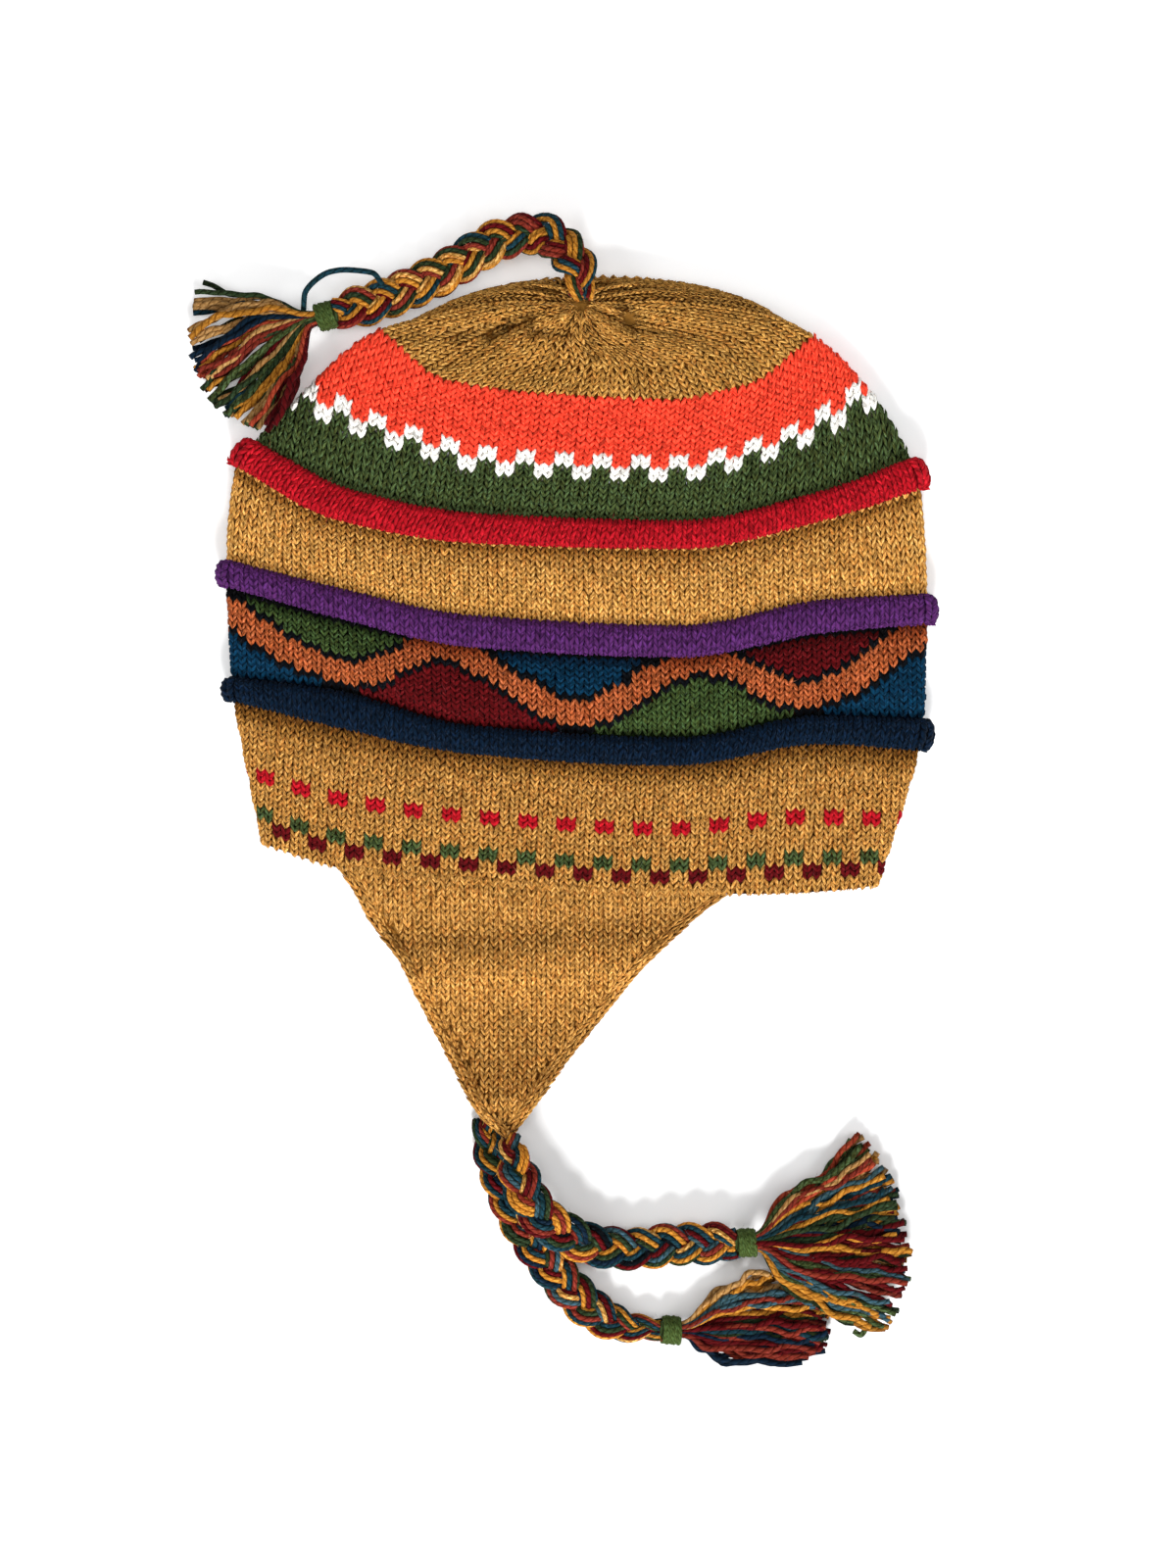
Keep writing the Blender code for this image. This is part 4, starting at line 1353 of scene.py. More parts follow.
@dataclass
class Welt:
    """One raised welt: a roll of knitting that stands off the body all the way round."""

    name: str
    slot: str
    yarn: Yarn
    lower_row: float
    upper_row: float
    surface: HatSurface
    finishes: Finishes
    random: Random
    columns: int = 148
    stitch_rows: int = 7
    # Place along the roll from its tucked lower edge to its top, share of its height, share of its thickness
    profile: tuple[tuple[float, float, float], ...] = (
        (0.00, 0.14, -0.05),
        (0.12, 0.02, 0.36),
        (0.28, 0.10, 0.84),
        (0.48, 0.42, 1.10),
        (0.70, 0.76, 0.88),
        (0.86, 0.91, 0.40),
        (1.00, 0.95, -0.45),
    )
    overhang: float = 0.15
    skin_rows: int = 13
    skin_margin: float = 0.4
    skin_depth: float = 0.0008
    skin_shade: float = 0.6
    # How far round from the middle of the upper layer the fine stitches reach, as a round share
    near_reach: float = 0.27
    fuzz_share: float = 0.25
    step: float = 0.003

    def thickness(self, share: Array) -> Array:
        """Thickness of the roll: full on the upper layer, pressed under the lower one."""
        full = smoothstep(-0.5, 0.5, np.sin(tau * share))
        return WELT_PRESSED_THICKNESS + (WELT_THICKNESS - WELT_PRESSED_THICKNESS) * full

    def place(self, column: Array, row: Array) -> Array:
        """Points of the roll from column numbers and row numbers along its section."""
        table = np.array(self.profile)
        along = np.clip(row / self.stitch_rows, 0.0, 1.0)
        _, up, out = smooth_curve(table[:, 0], table, along).T
        share = column / self.columns
        on_top = np.clip(np.sin(tau * share), 0.0, 1.0)
        up = up - self.overhang * (1 - up) ** 2 * np.clip(out, 0.0, 1.0) * on_top
        body_row = self.lower_row + (self.upper_row - self.lower_row) * up
        normal = self.surface.normals(body_row, share, self.step)
        return self.surface.at(body_row, share) + normal * (GAP + self.thickness(share) * out)[:, None]

    def make(self) -> None:
        """Build the closed roll and the stitches on it."""
        parts = MeshParts()
        stops = np.linspace(0.0, self.stitch_rows, self.skin_rows)
        row, column = all_pairs(stops, np.arange(self.columns) + 0.0)
        row = np.clip(row, self.skin_margin, self.stitch_rows - self.skin_margin)
        frames = Frames.on(self.place, column, row)
        skin = frames.middle - frames.out * self.skin_depth
        tones = np.repeat(self.yarn.tone[None] * ((self.skin_shade,) * 3 + (1.0,)), len(skin), axis=0)
        parts.add(skin, tones, [grid_faces(len(stops), self.columns, True, closed_along=True)])
        rows, columns = all_pairs(np.arange(self.stitch_rows) + 0.5, np.arange(self.columns) + 0.5)
        frames = Frames.on(self.place, columns, rows)
        stitch_tones = np.repeat(self.yarn.tone[None], len(rows), axis=0)
        near = np.abs(columns / self.columns - 0.25) < self.near_reach
        WELT_STITCH.knit(parts, frames.turned(near), stitch_tones[near], self.random)
        FAR_STITCH.knit(parts, frames.turned(~near), stitch_tones[~near], self.random)
        hairy = near & (self.random.random(len(near)) < self.fuzz_share)
        Fuzz().grow(parts, frames.middle[hairy], frames.out[hairy], stitch_tones[hairy], self.random)
        parts.build(self.name + "_roll", self.finishes.welt, self.slot, self.name)


@dataclass
class EarFlap:
    """One ear flap, knitted down from the brim to its tip."""

    near: bool
    surface: HatSurface
    finishes: Finishes
    random: Random
    column_width: float = 0.0031
    row_height: float = 0.0020
    edge_columns: int = 2
    cloth_rows: int = 40
    cloth_columns: int = 28
    cloth_margin: float = 0.0004
    fuzz_share: float = 0.2
    # Soft waves across the flap: share of its length, reach, height
    swells: tuple[tuple[float, float, float], ...] = (
        (0.15, 0.07, -0.0028), (0.34, 0.09, 0.0028), (0.60, 0.10, -0.0010), (0.82, 0.08, 0.0008),
    )
    # How much lighter the waves' tops and darker their valleys look, for each metre of their height
    wave_shade: float = 55.0
    # Rolls along the edges: distance in from the edge, reach, height
    edge_rolls: tuple[tuple[float, float, float], ...] = ((0.0024, 0.0015, 0.0010), (0.0060, 0.0014, -0.0010))

    def __post_init__(self) -> None:
        """Work out the flap's sizes from the brim's section."""
        left_x, right_x = SECTIONS[0, section_columns("left_x", "right_x")]
        self.brim_middle = HALF_WIDTH * (right_x + left_x) / 2
        self.brim_half = HALF_WIDTH * (right_x - left_x) / 2
        self.inset = 0.0 if self.near else FAR_FLAP_INSET
        self.length = FLAP_LENGTH if self.near else FLAP_LENGTH - FAR_FLAP_SHORTER

    def edges(self, down: Array) -> tuple[Array, Array]:
        """X of the left and right edge at shares of the length down from the brim."""
        _, left, right = smooth_curve(FLAP_EDGES[:, 0], FLAP_EDGES, np.clip(down, 0.0, 1.0)).T
        return HALF_WIDTH * left + self.inset, HALF_WIDTH * right - self.inset * (1 - down)

    def at(self, x: Array, down: Array) -> Array:
        """Points of the flap's upper face."""
        left_y, right_y, far_y, top_share = SECTIONS[0, section_columns("left_y", "right_y", "far_y", "top")]
        across = np.clip((x - self.brim_middle) / self.brim_half, -1.0, 1.0)
        top = BODY_HEIGHT * top_share
        rest = 2 * (KNIT_THICKNESS + GAP)
        if self.near:
            brim_y = self.surface.upper_edge_y(np.repeat(SECTIONS[:1], len(x), axis=0), across)
            brim_z = top / 2 + top / 2 * (1 - np.abs(across) ** 3) ** (1 / 3)
            z = brim_z + (rest - brim_z) * smoothstep(0.0, FLAP_DESCENT_END, down)
            z = z + FLAP_TIP_LIFT * smoothstep(*FLAP_TIP_LIFT_PLACES, down)
            z = z + self.swell(across, down)
            left, right = self.edges(down)
            fade = smoothstep(0.02, 0.2, down)
            for inset, reach, height in self.edge_rolls:
                z = z + fade * height * (np.exp(-((x - left - inset) / reach) ** 2)
                                         + 0.5 * np.exp(-((right - x - inset) / reach) ** 2))
        else:
            ends = left_y + (right_y - left_y) * (across + 1) / 2
            middle = (left_y + right_y) / 2
            brim_y = BRIM_Y + CROWN_HEIGHT * (ends + (far_y - middle) * (1 - np.abs(across) ** 3))
            z = np.full(x.shape, KNIT_THICKNESS)
        y = BRIM_Y - down * self.length + (brim_y - GAP - BRIM_Y) * (1 - np.maximum(down, 0.0)) ** 2
        return np.stack((x, y, z), axis=1)

    def swell(self, across: Array, down: Array) -> Array:
        """Height of the soft waves that run across the flap."""
        slanted = down + 0.10 * across
        return sum(height * np.exp(-((slanted - middle) / reach) ** 2)
                   for middle, reach, height in self.swells)

    def stitch_frames(self) -> Frames:
        """Frames of the stitches: straight columns inside, and columns that follow each slanted edge."""
        row_count = round(self.length / self.row_height)
        downs = (np.arange(row_count + 1) - 0.5) / row_count
        width = self.column_width
        groups = []
        for down in downs:
            left, right = (float(edge[0]) for edge in self.edges(np.array([down])))
            start = self.brim_middle + width
            inner = np.arange(np.ceil((left - start) / width + self.edge_columns - 0.3),
                              np.floor((right - start) / width - self.edge_columns + 0.3) + 0.5)
            groups.append(np.stack((start + inner * width, np.full(len(inner), down), np.zeros(len(inner))),
                                   axis=1))
            for place in range(self.edge_columns):
                reach = (place + 0.5) * width
                if left + reach < right - reach:
                    groups.append(np.array(((left + reach, down, -1.0), (right - reach, down, 1.0))))
        x, down, edge = np.concatenate(groups).T
        step = 0.5 / row_count

        def follow(at_down: Array) -> Array:
            """X of the stitches where their columns run to other places down the flap."""
            left, right = self.edges(down)
            new_left, new_right = self.edges(at_down)
            return x + np.where(edge < 0, new_left - left, np.where(edge > 0, new_right - right, 0.0))

        across = self.at(x + width / 2, down) - self.at(x - width / 2, down)
        up = self.at(follow(down - step), down - step) - self.at(follow(down + step), down + step)
        return Frames(self.at(x, down), across, up, unit(np.cross(across, up)))

    def make(self) -> None:
        """Build the flap's cloth and its stitches."""
        where = "near" if self.near else "far"
        rows = np.linspace(0.0, 1.0, self.cloth_rows)
        columns = self.cloth_columns
        margin = self.cloth_margin
        left, right = self.edges(rows)
        share = np.linspace(0.0, 1.0, columns)
        x = (left + margin)[:, None] + (right - left - 2 * margin)[:, None] * share
        down = np.repeat(rows[:, None], columns, axis=1)
        top = self.at(x.ravel(), down.ravel())
        under = top.copy()
        top[:, 2] -= CLOTH_DEPTH
        under[:, 2] -= KNIT_THICKNESS - (0.0 if self.near else CLOTH_DEPTH)
        parts = MeshParts()
        tones = np.repeat(Yarn.GOLD.tone[None], len(top), axis=0)
        corners, uvs = grid_faces(len(rows), columns, False)
        count = len(top)
        grid = np.arange(count).reshape(len(rows), columns)
        outline = np.concatenate((grid[0], grid[1:, -1], grid[-1, -2::-1], grid[-2:0:-1, 0]))
        following = np.roll(outline, -1)
        rim = np.stack((outline, outline + count, following + count, following), axis=1)[:, ::-1]
        parts.add(np.concatenate((top, under)), np.concatenate((tones, tones)),
                  [(corners[:, ::-1], uvs[:, ::-1]), (corners + count, uvs),
                   (rim, np.zeros((len(rim), 4, 2)))])
        cloth = parts.build(f"ear_flap_{where}_cloth", self.finishes.cloth, "gold_knit", f"ear_flap_{where}")
        frames = self.stitch_frames()
        stitch_parts = MeshParts()
        # The flap's stitches take the gold darkened with painted shade
        stitch_tones = np.repeat(Yarn.FLAP_GOLD.tone[None], len(frames.middle), axis=0)
        if self.near:
            across = (frames.middle[:, 0] - self.brim_middle) / self.brim_half
            height = self.swell(across, (BRIM_Y - frames.middle[:, 1]) / self.length)
            stitch_tones[:, :3] *= (1 + self.wave_shade * height)[:, None]
            NEAR_STITCH.knit(stitch_parts, frames, stitch_tones, self.random)
            hairy = self.random.random(len(stitch_tones)) < self.fuzz_share
            Fuzz().grow(stitch_parts, frames.middle[hairy], frames.out[hairy], stitch_tones[hairy],
                        self.random)
        else:
            FAR_STITCH.knit(stitch_parts, frames, stitch_tones, self.random)
        stitches = stitch_parts.build(f"ear_flap_{where}_stitches", self.finishes.knit, "gold_knit")


class Face(Enum):
    """Which face of a braid is up, which sets the way its chevrons point."""

    FRONT = -1.0
    BACK = 1.0


@dataclass
class BraidedCord:
    """A flat braid of three strands, its wound tie and its tassel."""

    place: str
    route: tuple[Point, ...]
    face: Face
    strand_yarns: tuple[tuple[Yarn, ...], ...]
    tassel: "Tassel"
    finishes: Finishes
    random: Random
    swing: float = 0.0040
    lift: float = 0.0021
    repeat: float = 0.0252
    bundle_width: float = 0.0024
    bundle_height: float = 0.0015
    yarn_radius: float = 0.00088
    spacing: float = 0.0011
    drop: float = 0.0007
    twist: float = 1.7
    root_share: float = 0.62
    end_share: float = 0.74
    end_length: float = 0.008
    root_length: float = 0.016
    diameter: float = 0.0135
    yarn_sides: int = 6
    fibres: int = 560
    tie_turns: int = 7
    # Layers of the winding: radius, radius of its yarn, start as a share of a turn
    tie_layers: tuple[Point, ...] = ((0.0036, 0.00062, 0.0), (0.0039, 0.00058, 0.5))
    tie_fibres: int = 60

    def centreline(self) -> Array:
        """Evenly spaced points on a smooth curve through the route."""
        points = np.array(self.route)
        distance = distances(points)
        fine = smooth_curve(distance, points, np.linspace(0.0, distance[-1], 600))
        travelled = distances(fine)
        stops = np.linspace(0.0, travelled[-1], round(travelled[-1] / self.spacing) + 1)
        line = np.stack([np.interp(stops, travelled, fine[:, axis]) for axis in range(3)], axis=1)
        line[:, 2] -= self.drop
        return line

    def make(self) -> None:
        line = self.centreline()
        count = len(line)
        from_root = np.arange(count) * self.spacing
        from_end = from_root[::-1]
        from_start = smoothstep(0.0, self.root_length, from_root)
        before_end = smoothstep(0.0, self.end_length, from_end)
        size = np.minimum(self.root_share + (1 - self.root_share) * from_start,
                          self.end_share + (1 - self.end_share) * before_end)
        tangent = unit(np.gradient(line, axis=0))
        side = unit(np.cross(UP, tangent))
        up = np.cross(tangent, side)
        phase = tau * (from_root / self.repeat)
        parts = MeshParts()
        for strand, yarns in enumerate(self.strand_yarns):
            angle = phase + tau * strand / 3
            wide = self.swing * size * np.sin(angle)
            high = self.face.value * self.lift * size ** 0.5 * np.sin(2 * angle)
            centre = line + side * wide[:, None] + up * high[:, None]
            strand_way = unit(np.gradient(centre, axis=0))
            strand_up = unit(up - strand_way * np.sum(up * strand_way, axis=1, keepdims=True))
            strand_side = np.cross(strand_up, strand_way)
            paths = []
            turns = tau * np.arange(len(yarns)) / len(yarns)
            for start in turns:
                around = start + self.twist * from_root / self.repeat
                wobble = 1 + 0.05 * np.sin(from_root / 0.006 + start * 3)
                beside = self.bundle_width * size * np.cos(around) * wobble
                above = self.bundle_height * size * np.sin(around) * wobble
                paths.append(centre + (strand_side * beside[:, None] + strand_up * above[:, None]))
            paths = np.array(paths)
            radii = np.repeat((self.yarn_radius * size ** 0.6)[None], len(yarns), axis=0)
            tones = np.array([yarn.tone for yarn in yarns])
            tones[:, :3] *= self.random.uniform(0.88, 1.12, (len(yarns), 1))
            add_tubes(parts, paths, radii, self.yarn_sides, tones,
                      turn=self.random.uniform(0.0, 30.0, len(yarns)))
            self.add_fuzz(parts, paths, radii, tones)
        braid = parts.build(f"{self.place}_braid_yarns", self.finishes.braid, "braided_yarn",
                            f"{self.place}_braid")
        end = line[-1]
        way = unit(line[-1] - line[-2])
        tie = self.wind_tie(end, way)
        loose = self.tassel.make(self.place, end + way * TIE_LENGTH * 0.55, self.finishes, self.random)

    def add_fuzz(self, parts: MeshParts, paths: Array, radii: Array, tones: Array) -> None:
        """Grow loose fibres on the braid's yarns."""
        flat = paths.reshape(-1, 3)
        chosen = self.random.integers(0, len(flat), self.fibres)
        out = unit(self.random.normal(0.0, 1.0, (len(chosen), 3)))
        colours = tones[chosen // paths.shape[1]]
        Fuzz(longest=0.0034).grow(parts, flat[chosen] + out * radii[0, 0], out, colours, self.random)

    def wind_tie(self, end: Array, way: Array) -> bpy.types.Object:
        """Wind green yarn round the end of the braid.

        Args:
            end: End of the braid.
            way: The way the braid runs there.

        Returns:
            The tie.
        """
        parts = MeshParts()
        side = unit(np.cross(UP, way))
        up = np.cross(way, side)
        steps = self.tie_turns * 18
        share = np.linspace(0.0, 1.0, steps)
        angle = tau * self.tie_turns * share
        green = Yarn.TIE_GREEN.tone
        along = TIE_LENGTH * (0.06 + 0.88 * share)
        for layer, (radius, yarn_radius, offset) in enumerate(self.tie_layers):
            slant = 0.0006 * np.sin(angle + offset * 4 + layer)
            spread = radius * (1 + 0.04 * np.sin(angle * 0.37 + offset * 7))
            path = (end + way * (along + slant)[:, None]
                    + side * (spread * 1.08 * np.cos(angle + offset * tau))[:, None]
                    + up * (spread * np.sin(angle + offset * tau))[:, None])
            add_tubes(parts, path[None], np.full((1, steps), yarn_radius), 5, green[None], reference=way)
        # A core at half the green's brightness under the winding: painted shade seen between its turns
        core = end + way * np.linspace(-0.0006, TIE_LENGTH + 0.0006, 5)[:, None]
        add_tubes(parts, core[None], np.array((0.0026, 0.0036, 0.0037, 0.0036, 0.0026))[None], 14,
                  (green * (0.5, 0.5, 0.5, 1.0))[None])
        count = self.tie_fibres
        roots = end + way * self.random.uniform(0.0, TIE_LENGTH, (count, 1))
        out = unit(self.random.normal(0.0, 1.0, (count, 3)))
        Fuzz().grow(parts, roots + out * 0.0040, out, np.repeat(green[None], count, axis=0), self.random)
        return parts.build(f"{self.place}_tie_winding", self.finishes.tie, "green_yarn", f"{self.place}_tie")


@dataclass
class Tassel:
    """The loose yarns past the tie, spread in a fan on what lies under them."""

    guides: tuple[tuple[Point, ...], ...]
    yarns: tuple[Yarn, ...]
    strands: int
    stray: tuple[Point, ...] = ()
    stray_yarn: Yarn = Yarn.GREEN
    radius: float = 0.00100
    wave: float = 0.0012
    # Below 1 the yarns lie thinner at the start of the fan
    bias: float = 1.0
    layers: int = 4
    layer_height: float = 0.0013
    root_spread: float = 0.5
    stops: int = 32
    stray_stops: int = 40
    yarn_sides: int = 6
    fibres: int = 700
    # Swings of a yarn: turns along it, share of the wave's size
    swings: tuple[tuple[float, float], ...] = ((1.3, 0.9), (2.7, 0.6), (5.5, 0.28))

    def paths(self, root: Array, random: Random) -> tuple[Array, Array, Array]:
        """Paths of the yarns between the guides.

        Args:
            root: Middle of the tie, where the yarns start.
            random: Source of the small differences between them.

        Returns:
            Points of each yarn, its place across the fan and its layer from the bottom, both from 0 to 1.
        """
        guides = np.array(self.guides)
        first = guides[:, 0]
        starts = root + (first - first.mean(axis=0)) * self.root_spread
        guides = np.concatenate((starts[:, None], guides), axis=1)
        fine = np.linspace(0.0, 1.0, self.stops)
        steps = np.linalg.norm(np.diff(guides, axis=1), axis=2).mean(axis=0)
        places = np.concatenate(([0.0], np.cumsum(steps)))
        places = places / places[-1]
        curves = np.array([smooth_curve(places, guide, fine) for guide in guides])
        count = self.strands
        share = np.clip((np.arange(count) + random.uniform(-0.8, 1.8, count)) / count, 0.0, 1.0) ** self.bias
        along = fine[None, :] * random.uniform(0.90, 1.0, (count, 1))
        drift = share[:, None] + random.normal(0.0, 0.035, (count, 1)) * smoothstep(0.1, 1.0, along)
        drift = np.clip(drift, 0.0, 1.0) * (len(guides) - 1)
        low = np.minimum(drift.astype(int), len(guides) - 2)
        mix = (drift - low)[..., None]
        step = along * (self.stops - 1)
        before = np.minimum(step.astype(int), self.stops - 2)
        part = (step - before)[..., None]
        lower = curves[low, before] * (1 - part) + curves[low, before + 1] * part
        upper = curves[low + 1, before] * (1 - part) + curves[low + 1, before + 1] * part
        paths = lower * (1 - mix) + upper * mix
        travel = unit(np.gradient(paths, axis=1))
        sideways = unit(np.cross(UP, travel))
        grow = smoothstep(0.10, 0.55, along)
        swing = np.zeros_like(along)
        for turns, size in self.swings:
            phase = random.uniform(0.0, tau, (count, 1))
            pace = random.uniform(0.8, 1.25, (count, 1))
            swing += size * self.wave * np.sin(tau * turns * along * pace + phase)
        paths = paths + sideways * (swing * grow)[..., None]
        layer = random.permutation(count) % self.layers / (self.layers - 1)
        level = (layer[:, None] - 0.5) * (self.layers - 1)
        lift = level * self.layer_height * (0.6 + 0.4 * grow)
        lift = lift + random.normal(0.0, 0.0004, (count, 1))
        lift = lift + 0.0005 * np.sin(tau * 2.2 * along + 5 * layer[:, None])
        paths[..., 2] = np.maximum(paths[..., 2] + lift, self.radius)
        return paths, share, layer

    def make(self, place: str, root: Array, finishes: Finishes, random: Random) -> list[bpy.types.Object]:
        """Build the tassel, and the yarn that strays from it if it has one.

        Args:
            place: Name of the cord it ends.
            root: Middle of the tie, where its yarns start.
            finishes: The materials.
            random: Source of the small differences between its yarns.

        Returns:
            The pieces.
        """
        parts = MeshParts()
        paths, share, layer = self.paths(root, random)
        count = len(paths)
        swell = 0.8 + 0.2 * smoothstep(0.1, 0.5, np.linspace(0.0, 1.0, self.stops))
        radii = self.radius * swell[None] * random.uniform(0.85, 1.15, (count, 1))
        spots = share * len(self.yarns) + random.uniform(-0.5, 0.5, count)
        numbers = np.clip(spots, 0, len(self.yarns) - 1).astype(int)
        tones = np.array([self.yarns[number].tone for number in numbers])
        # Random tone, and painted shade on the lower layers of the fan: the bottom one at 55 % of the top
        # one's brightness
        tones[:, :3] *= random.uniform(0.8, 1.1, (count, 1)) * (0.55 + 0.45 * layer[:, None])
        add_tubes(parts, paths, radii, self.yarn_sides, tones, turn=random.uniform(0.0, 30.0, count))
        chosen = random.integers(0, count * self.stops, self.fibres)
        out = unit(random.normal(0.0, 1.0, (len(chosen), 3)))
        roots = paths.reshape(-1, 3)[chosen]
        Fuzz(longest=0.004).grow(parts, roots, out, tones[chosen // self.stops], random)
        pieces = [parts.build(f"{place}_tassel_yarns", finishes.tassel, "tassel_yarn", f"{place}_tassel")]
        if self.stray:
            route = np.array(self.stray)
            fine = np.linspace(0.0, 1.0, self.stray_stops)
            line = smooth_curve(np.linspace(0.0, 1.0, len(route)), route, fine)
            loose = MeshParts()
            add_tubes(loose, line[None], np.full((1, len(fine)), self.radius), self.yarn_sides,
                      self.stray_yarn.tone[None])
            pieces.append(loose.build(f"{place}_stray_yarn", finishes.tassel, "tassel_yarn"))
        return pieces


@dataclass(frozen=True)
class Studio:
    """The pale floor, the soft lights and the camera straight above."""

    photo_scale: float = 0.0003175
    photo_centre: tuple[float, float] = (0.00365, -0.0254)
    photo_height: int = 1600
    camera_height: float = 1.2
    subject_height: float = 0.010
    sensor: float = 36.0
    # Soft lights: name, place, diameter, power in watts
    lights: tuple[tuple[str, Point, float, float], ...] = (
        ("low_window", (0.05, -1.20, 0.85), 0.40, 25.0),
        ("left_softbox", (-1.1, 0.1, 1.0), 0.7, 5.5),
        ("right_softbox", (1.15, 0.0, 1.0), 0.7, 6.5),
        ("overhead", (0.0, 0.1, 1.8), 1.2, 8.0),
    )

    def camera(self) -> None:
        """Place the camera over the middle of the photograph's frame."""
        data = bpy.data.cameras.new("camera")
        data.sensor_fit = "AUTO"
        data.sensor_width = self.sensor
        data.lens = self.sensor * self.camera_height / (self.photo_height * self.photo_scale)
        data.clip_start = 0.01
        item = bpy.data.objects.new("camera", data)
        item.location = (*self.photo_centre, self.camera_height + self.subject_height)
        bpy.context.scene.collection.objects.link(item)
        bpy.context.scene.camera = item

    def floor(self) -> None:
        """A white table top that glows as painted light, more towards the gathered top, so that shadows there
        wash out.
        """
        mesh = bpy.data.meshes.new("floor")
        reach = 3.0
        corners = [(x * reach, y * reach, 0.0) for x, y in ((-1, -1), (1, -1), (1, 1), (-1, 1))]
        mesh.from_pydata(corners, [], [(0, 1, 2, 3)])
        made, build, shader = start_material("white_table")
        place = build.node("ShaderNodeTexCoord")
        grain = build.noise(place.outputs["Object"], 60.0, 3.0)
        build.join(build.mix(grain, (0.90, 0.905, 0.91, 1.0), (0.93, 0.93, 0.93, 1.0)),
                   shader.inputs["Base Color"])
        set_values(shader, {"Roughness": 0.6, "Specular IOR Level": 0.2, "Emission Strength": 1.0})
        # Painted light: the table glows faintly everywhere and more towards the gathered top, washing out
        # shadows there
        axes = build.node("ShaderNodeSeparateXYZ")
        build.join(place.outputs["Object"], axes.inputs[0])
        glow = build.ramp(axes.outputs["Y"], -0.16, 0.02)
        build.join(build.mix(glow, (0.02, 0.02, 0.02, 1.0), (0.22, 0.22, 0.22, 1.0)),
                   shader.inputs["Emission Color"])
        mesh.materials.append(made)
        item = bpy.data.objects.new("floor", mesh)
        bpy.context.scene.collection.objects.link(item)

    def light(self, name: str, place: Point, size: float, power: float) -> None:
        """Add one soft area light that points at the middle of the hat."""
        data = bpy.data.lights.new(name, "AREA")
        data.shape = "DISK"
        data.size = size
        data.energy = power
        item = bpy.data.objects.new(name, data)
        item.location = place
        item.rotation_mode = "QUATERNION"
        item.rotation_quaternion = (Vector() - Vector(place)).to_track_quat("-Z", "Y")
        bpy.context.scene.collection.objects.link(item)

    def make(self) -> None:
        """Set up everything round the hat."""
        self.camera()
        self.floor()
        for light in self.lights:
            self.light(*light)
        world = bpy.data.worlds.new("studio")
        world.use_nodes = True
        set_values(world.node_tree.nodes["Background"], {"Color": (1.0, 1.0, 1.0, 1.0), "Strength": 0.32})
        bpy.context.scene.world = world
        bpy.context.scene.view_settings.view_transform = "Standard"


CROWN_STRANDS = tuple(map(yarns_named, (
    "OCHRE OCHRE DEEP_GREEN BRICK GOLD DEEP_GREEN OCHRE DARK_RED",
    "BRICK DARK_RED OCHRE DEEP_TEAL OCHRE GOLD DEEP_GREEN BRICK",
    "OCHRE DEEP_TEAL DARK_RED OCHRE GOLD BRICK DEEP_GREEN DEEP_TEAL",
)))
NEAR_STRANDS = tuple(map(yarns_named, (
    "OCHRE OCHRE DEEP_TEAL DARK_RED GREY_TEAL DEEP_GREEN OCHRE BRICK",
    "DEEP_TEAL GREY_TEAL BRICK OCHRE DEEP_TEAL BLACK DARK_RED DEEP_GREEN",
    "BRICK DARK_RED GOLD DEEP_TEAL OCHRE DEEP_GREEN BLUE DEEP_TEAL",
)))
FAR_STRANDS = tuple(map(yarns_named, (
    "DARK_RED DEEP_TEAL OCHRE DEEP_GREEN BRICK DEEP_TEAL OCHRE BLUE",
    "DEEP_GREEN OCHRE DEEP_TEAL DARK_RED GOLD GREY_TEAL BRICK DEEP_GREEN",
    "OCHRE BRICK DEEP_TEAL DEEP_GREEN DARK_RED OCHRE BLUE DEEP_TEAL",
)))
# Yarns of each tassel, in order across its fan
CROWN_TASSEL_YARNS = yarns_named("""
    TAN DEEP_GREEN DEEP_TEAL TAN RUST TAN OCHRE DEEP_GREEN TAN BLUE OCHRE RUST TAN DEEP_GREEN BRICK
    OCHRE GREEN DARK_RED DEEP_GREEN TAN GREEN DEEP_GREEN TAN DEEP_TEAL OCHRE GREEN TAN RUST DARK_RED
    DARK_RED
""")
NEAR_TASSEL_YARNS = yarns_named("""
    RUST GREEN RUST BRICK TAN RUST OCHRE TAN DEEP_TEAL GREY_TEAL OCHRE BRICK DEEP_TEAL OCHRE DEEP_GREEN
    BLUE DARK_RED DEEP_GREEN DARK_RED BRICK OCHRE DEEP_GREEN GREY_TEAL DARK_RED TAN GREEN BRICK DARK_RED
    DEEP_GREEN GREY_TEAL GREEN OCHRE DEEP_GREEN
""")
FAR_TASSEL_YARNS = yarns_named("""
    TAN OCHRE TAN GREY_TEAL BRICK GREY_TEAL OCHRE DARK_RED DEEP_GREEN DARK_RED BRICK DEEP_TEAL
    DEEP_GREEN BRICK BLUE DARK_RED BLUE DARK_RED BRICK BLUE
""")

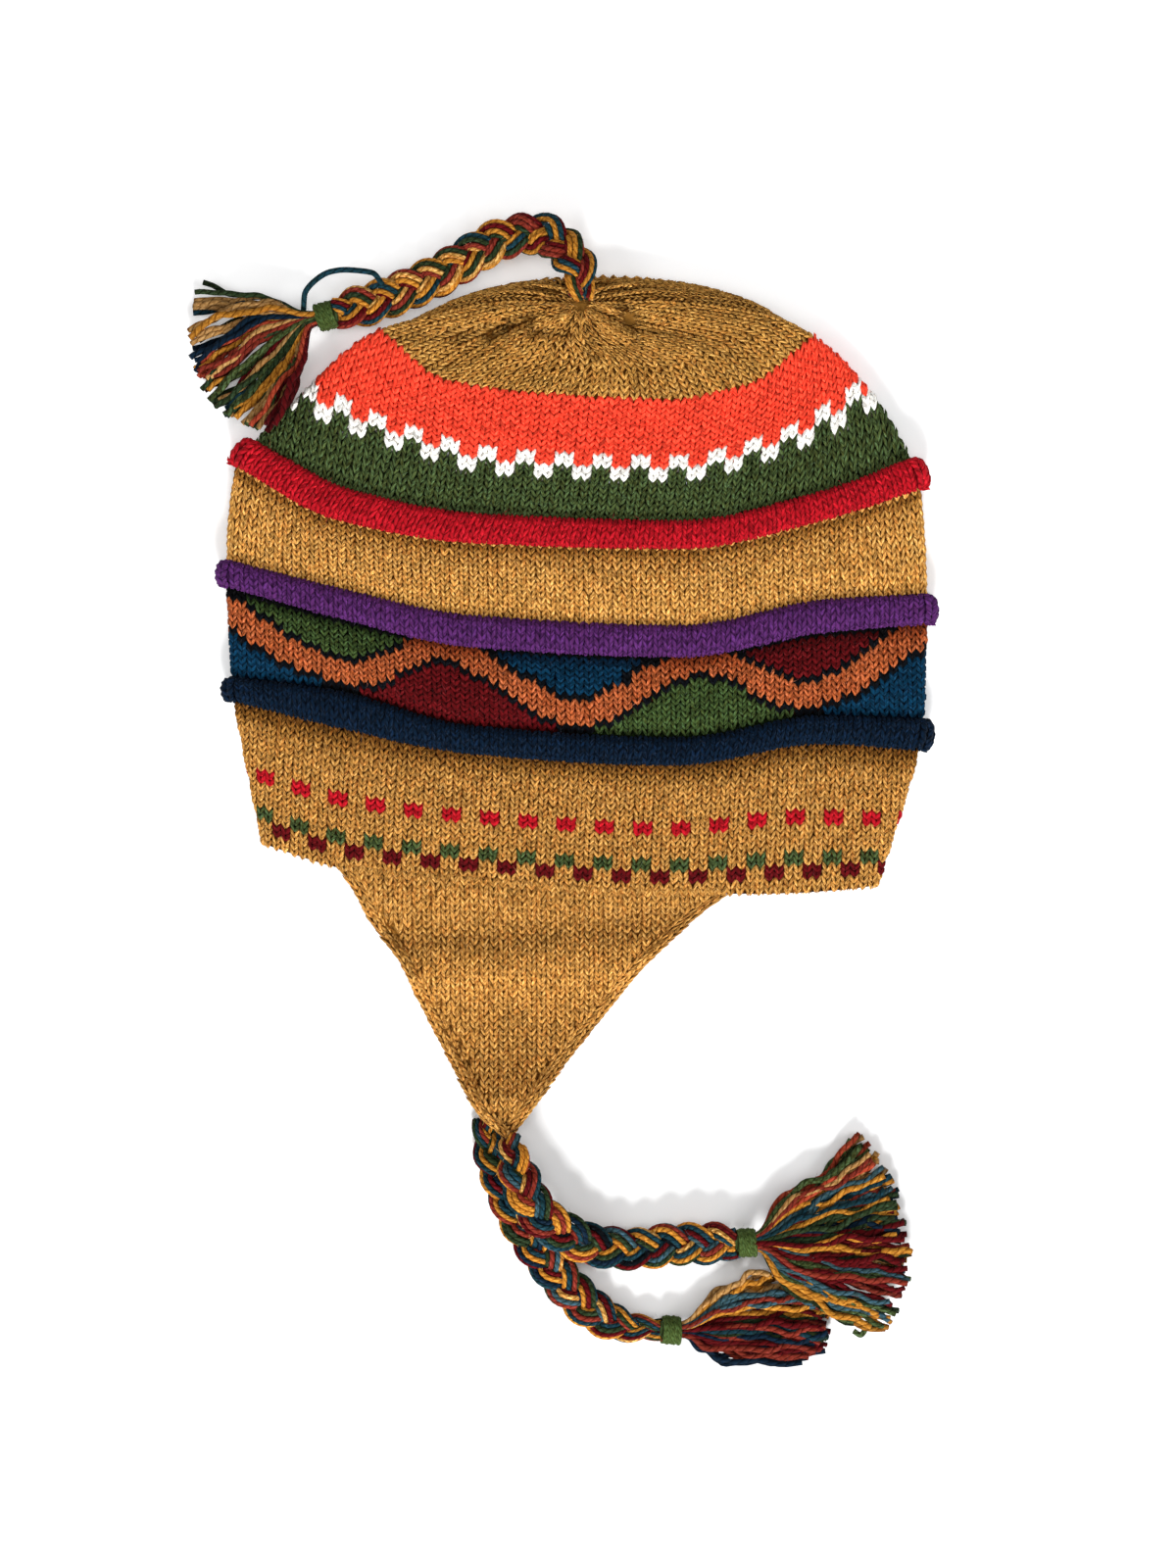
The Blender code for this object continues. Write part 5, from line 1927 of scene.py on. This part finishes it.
# Paths that the yarns of each tassel follow, in order across its fan, from the tie to the tips
CROWN_GUIDES = (
    ((-0.0878, 0.1276, 0.008), (-0.0983, 0.1327, 0.0075), (-0.1119, 0.1368, 0.006), (-0.127, 0.1425, 0.0045)),
    ((-0.0881, 0.1267, 0.0085), (-0.0992, 0.1295, 0.009),
     (-0.1145, 0.1276, 0.0065), (-0.127, 0.1225, 0.0045)),
    ((-0.0881, 0.1257, 0.0085), (-0.1018, 0.1229, 0.009),
     (-0.1164, 0.1143, 0.0065), (-0.1255, 0.108, 0.0045)),
    ((-0.0881, 0.1245, 0.008), (-0.0983, 0.1149, 0.008), (-0.1091, 0.1048, 0.006), (-0.1189, 0.0978, 0.005)),
    ((-0.0875, 0.1235, 0.0075), (-0.0929, 0.1124, 0.0085), (-0.1024, 0.101, 0.009), (-0.1119, 0.0921, 0.008)),
    ((-0.0868, 0.1229, 0.007), (-0.0884, 0.1118, 0.013),
     (-0.0922, 0.0991, 0.0185), (-0.0986, 0.0867, 0.0195)),
)
NEAR_GUIDES = (
    ((0.0595, -0.1705, 0.0095), (0.0652, -0.1616, 0.0075),
     (0.0792, -0.1527, 0.005), (0.0926, -0.1375, 0.0042)),
    ((0.0598, -0.1715, 0.0105), (0.0684, -0.1641, 0.0085),
     (0.0846, -0.1568, 0.0055), (0.1002, -0.1486, 0.0045)),
    ((0.0598, -0.1727, 0.011), (0.0722, -0.1683, 0.01), (0.0887, -0.1645, 0.007), (0.1059, -0.1594, 0.005)),
    ((0.0598, -0.174, 0.011), (0.0735, -0.1753, 0.0115), (0.0926, -0.1753, 0.009), (0.1091, -0.1768, 0.006)),
    ((0.0598, -0.1753, 0.0105), (0.071, -0.1822, 0.013), (0.0894, -0.1854, 0.0115), (0.1084, -0.1899, 0.007)),
    ((0.0595, -0.1765, 0.0095), (0.0643, -0.1851, 0.013), (0.0792, -0.1946, 0.012), (0.1008, -0.2032, 0.007)),
)
FAR_GUIDES = (
    ((0.036, -0.2, 0.006), (0.0424, -0.1934, 0.0045), (0.0506, -0.188, 0.004), (0.0621, -0.1832, 0.004)),
    ((0.0364, -0.2013, 0.007), (0.0468, -0.1962, 0.0055), (0.0633, -0.193, 0.0045), (0.083, -0.1962, 0.004)),
    ((0.0364, -0.2026, 0.007), (0.0487, -0.2013, 0.006), (0.0656, -0.2013, 0.005), (0.0833, -0.2026, 0.0042)),
    ((0.0364, -0.2038, 0.0065), (0.0468, -0.2067, 0.0055),
     (0.0637, -0.207, 0.0045), (0.0818, -0.2073, 0.004)),
    ((0.036, -0.2051, 0.0055), (0.0395, -0.2096, 0.0045), (0.0491, -0.213, 0.004), (0.0802, -0.2121, 0.004)),
)
# Single yarns that stray from a tie
CROWN_STRAY = ((-0.0887, 0.1276, 0.008), (-0.0881, 0.133, 0.011), (-0.0843, 0.1375, 0.013),
               (-0.0795, 0.14, 0.014), (-0.0745, 0.1407, 0.0135), (-0.0662, 0.14, 0.012),
               (-0.063, 0.1365, 0.01))
NEAR_STRAY = ((0.0792, -0.1949, 0.012), (0.0868, -0.1991, 0.009), (0.0913, -0.2, 0.007),
              (0.0938, -0.2022, 0.006), (0.0922, -0.2045, 0.006), (0.09, -0.2032, 0.006))


def make_cords(finishes: Finishes, random: Random) -> None:
    """Build the three braided cords with their ties and tassels."""
    crown = Tassel(CROWN_GUIDES, CROWN_TASSEL_YARNS, 72, CROWN_STRAY, Yarn.DEEP_TEAL, bias=0.72,
                   wave=0.0008)
    near = Tassel(NEAR_GUIDES, NEAR_TASSEL_YARNS, 112, NEAR_STRAY, Yarn.GREEN, bias=0.9)
    far = Tassel(FAR_GUIDES, FAR_TASSEL_YARNS, 66, bias=0.9)
    BraidedCord("crown", CROWN_ROUTE, Face.BACK, CROWN_STRANDS, crown, finishes, random).make()
    BraidedCord("near", NEAR_ROUTE, Face.FRONT, NEAR_STRANDS, near, finishes, random).make()
    BraidedCord("far", FAR_ROUTE, Face.FRONT, FAR_STRANDS, far, finishes, random, end_share=0.52,
                end_length=0.024).make()


def main() -> None:
    """Build every piece in order."""
    logging.basicConfig(level=logging.INFO, format="%(name)s %(message)s")
    random = np.random.default_rng(20)
    Studio().make()
    finishes = Finishes.make()
    make_cords(finishes, random)
    surface = HatSurface()
    body = HatBody(surface, finishes, random)
    body.cloth()
    body.knit()
    Welt("navy_welt", "navy_knit", Yarn.NAVY, 0.230, 0.277, surface, finishes, random).make()
    Welt("purple_welt", "purple_knit", Yarn.PURPLE, 0.411, 0.465, surface, finishes, random).make()
    Welt("red_welt", "red_knit", Yarn.RED, 0.588, 0.639, surface, finishes, random).make()
    EarFlap(True, surface, finishes, random).make()
    EarFlap(False, surface, finishes, random).make()
    LOG.info("sizes written")


if __name__ == "__main__":
    main()
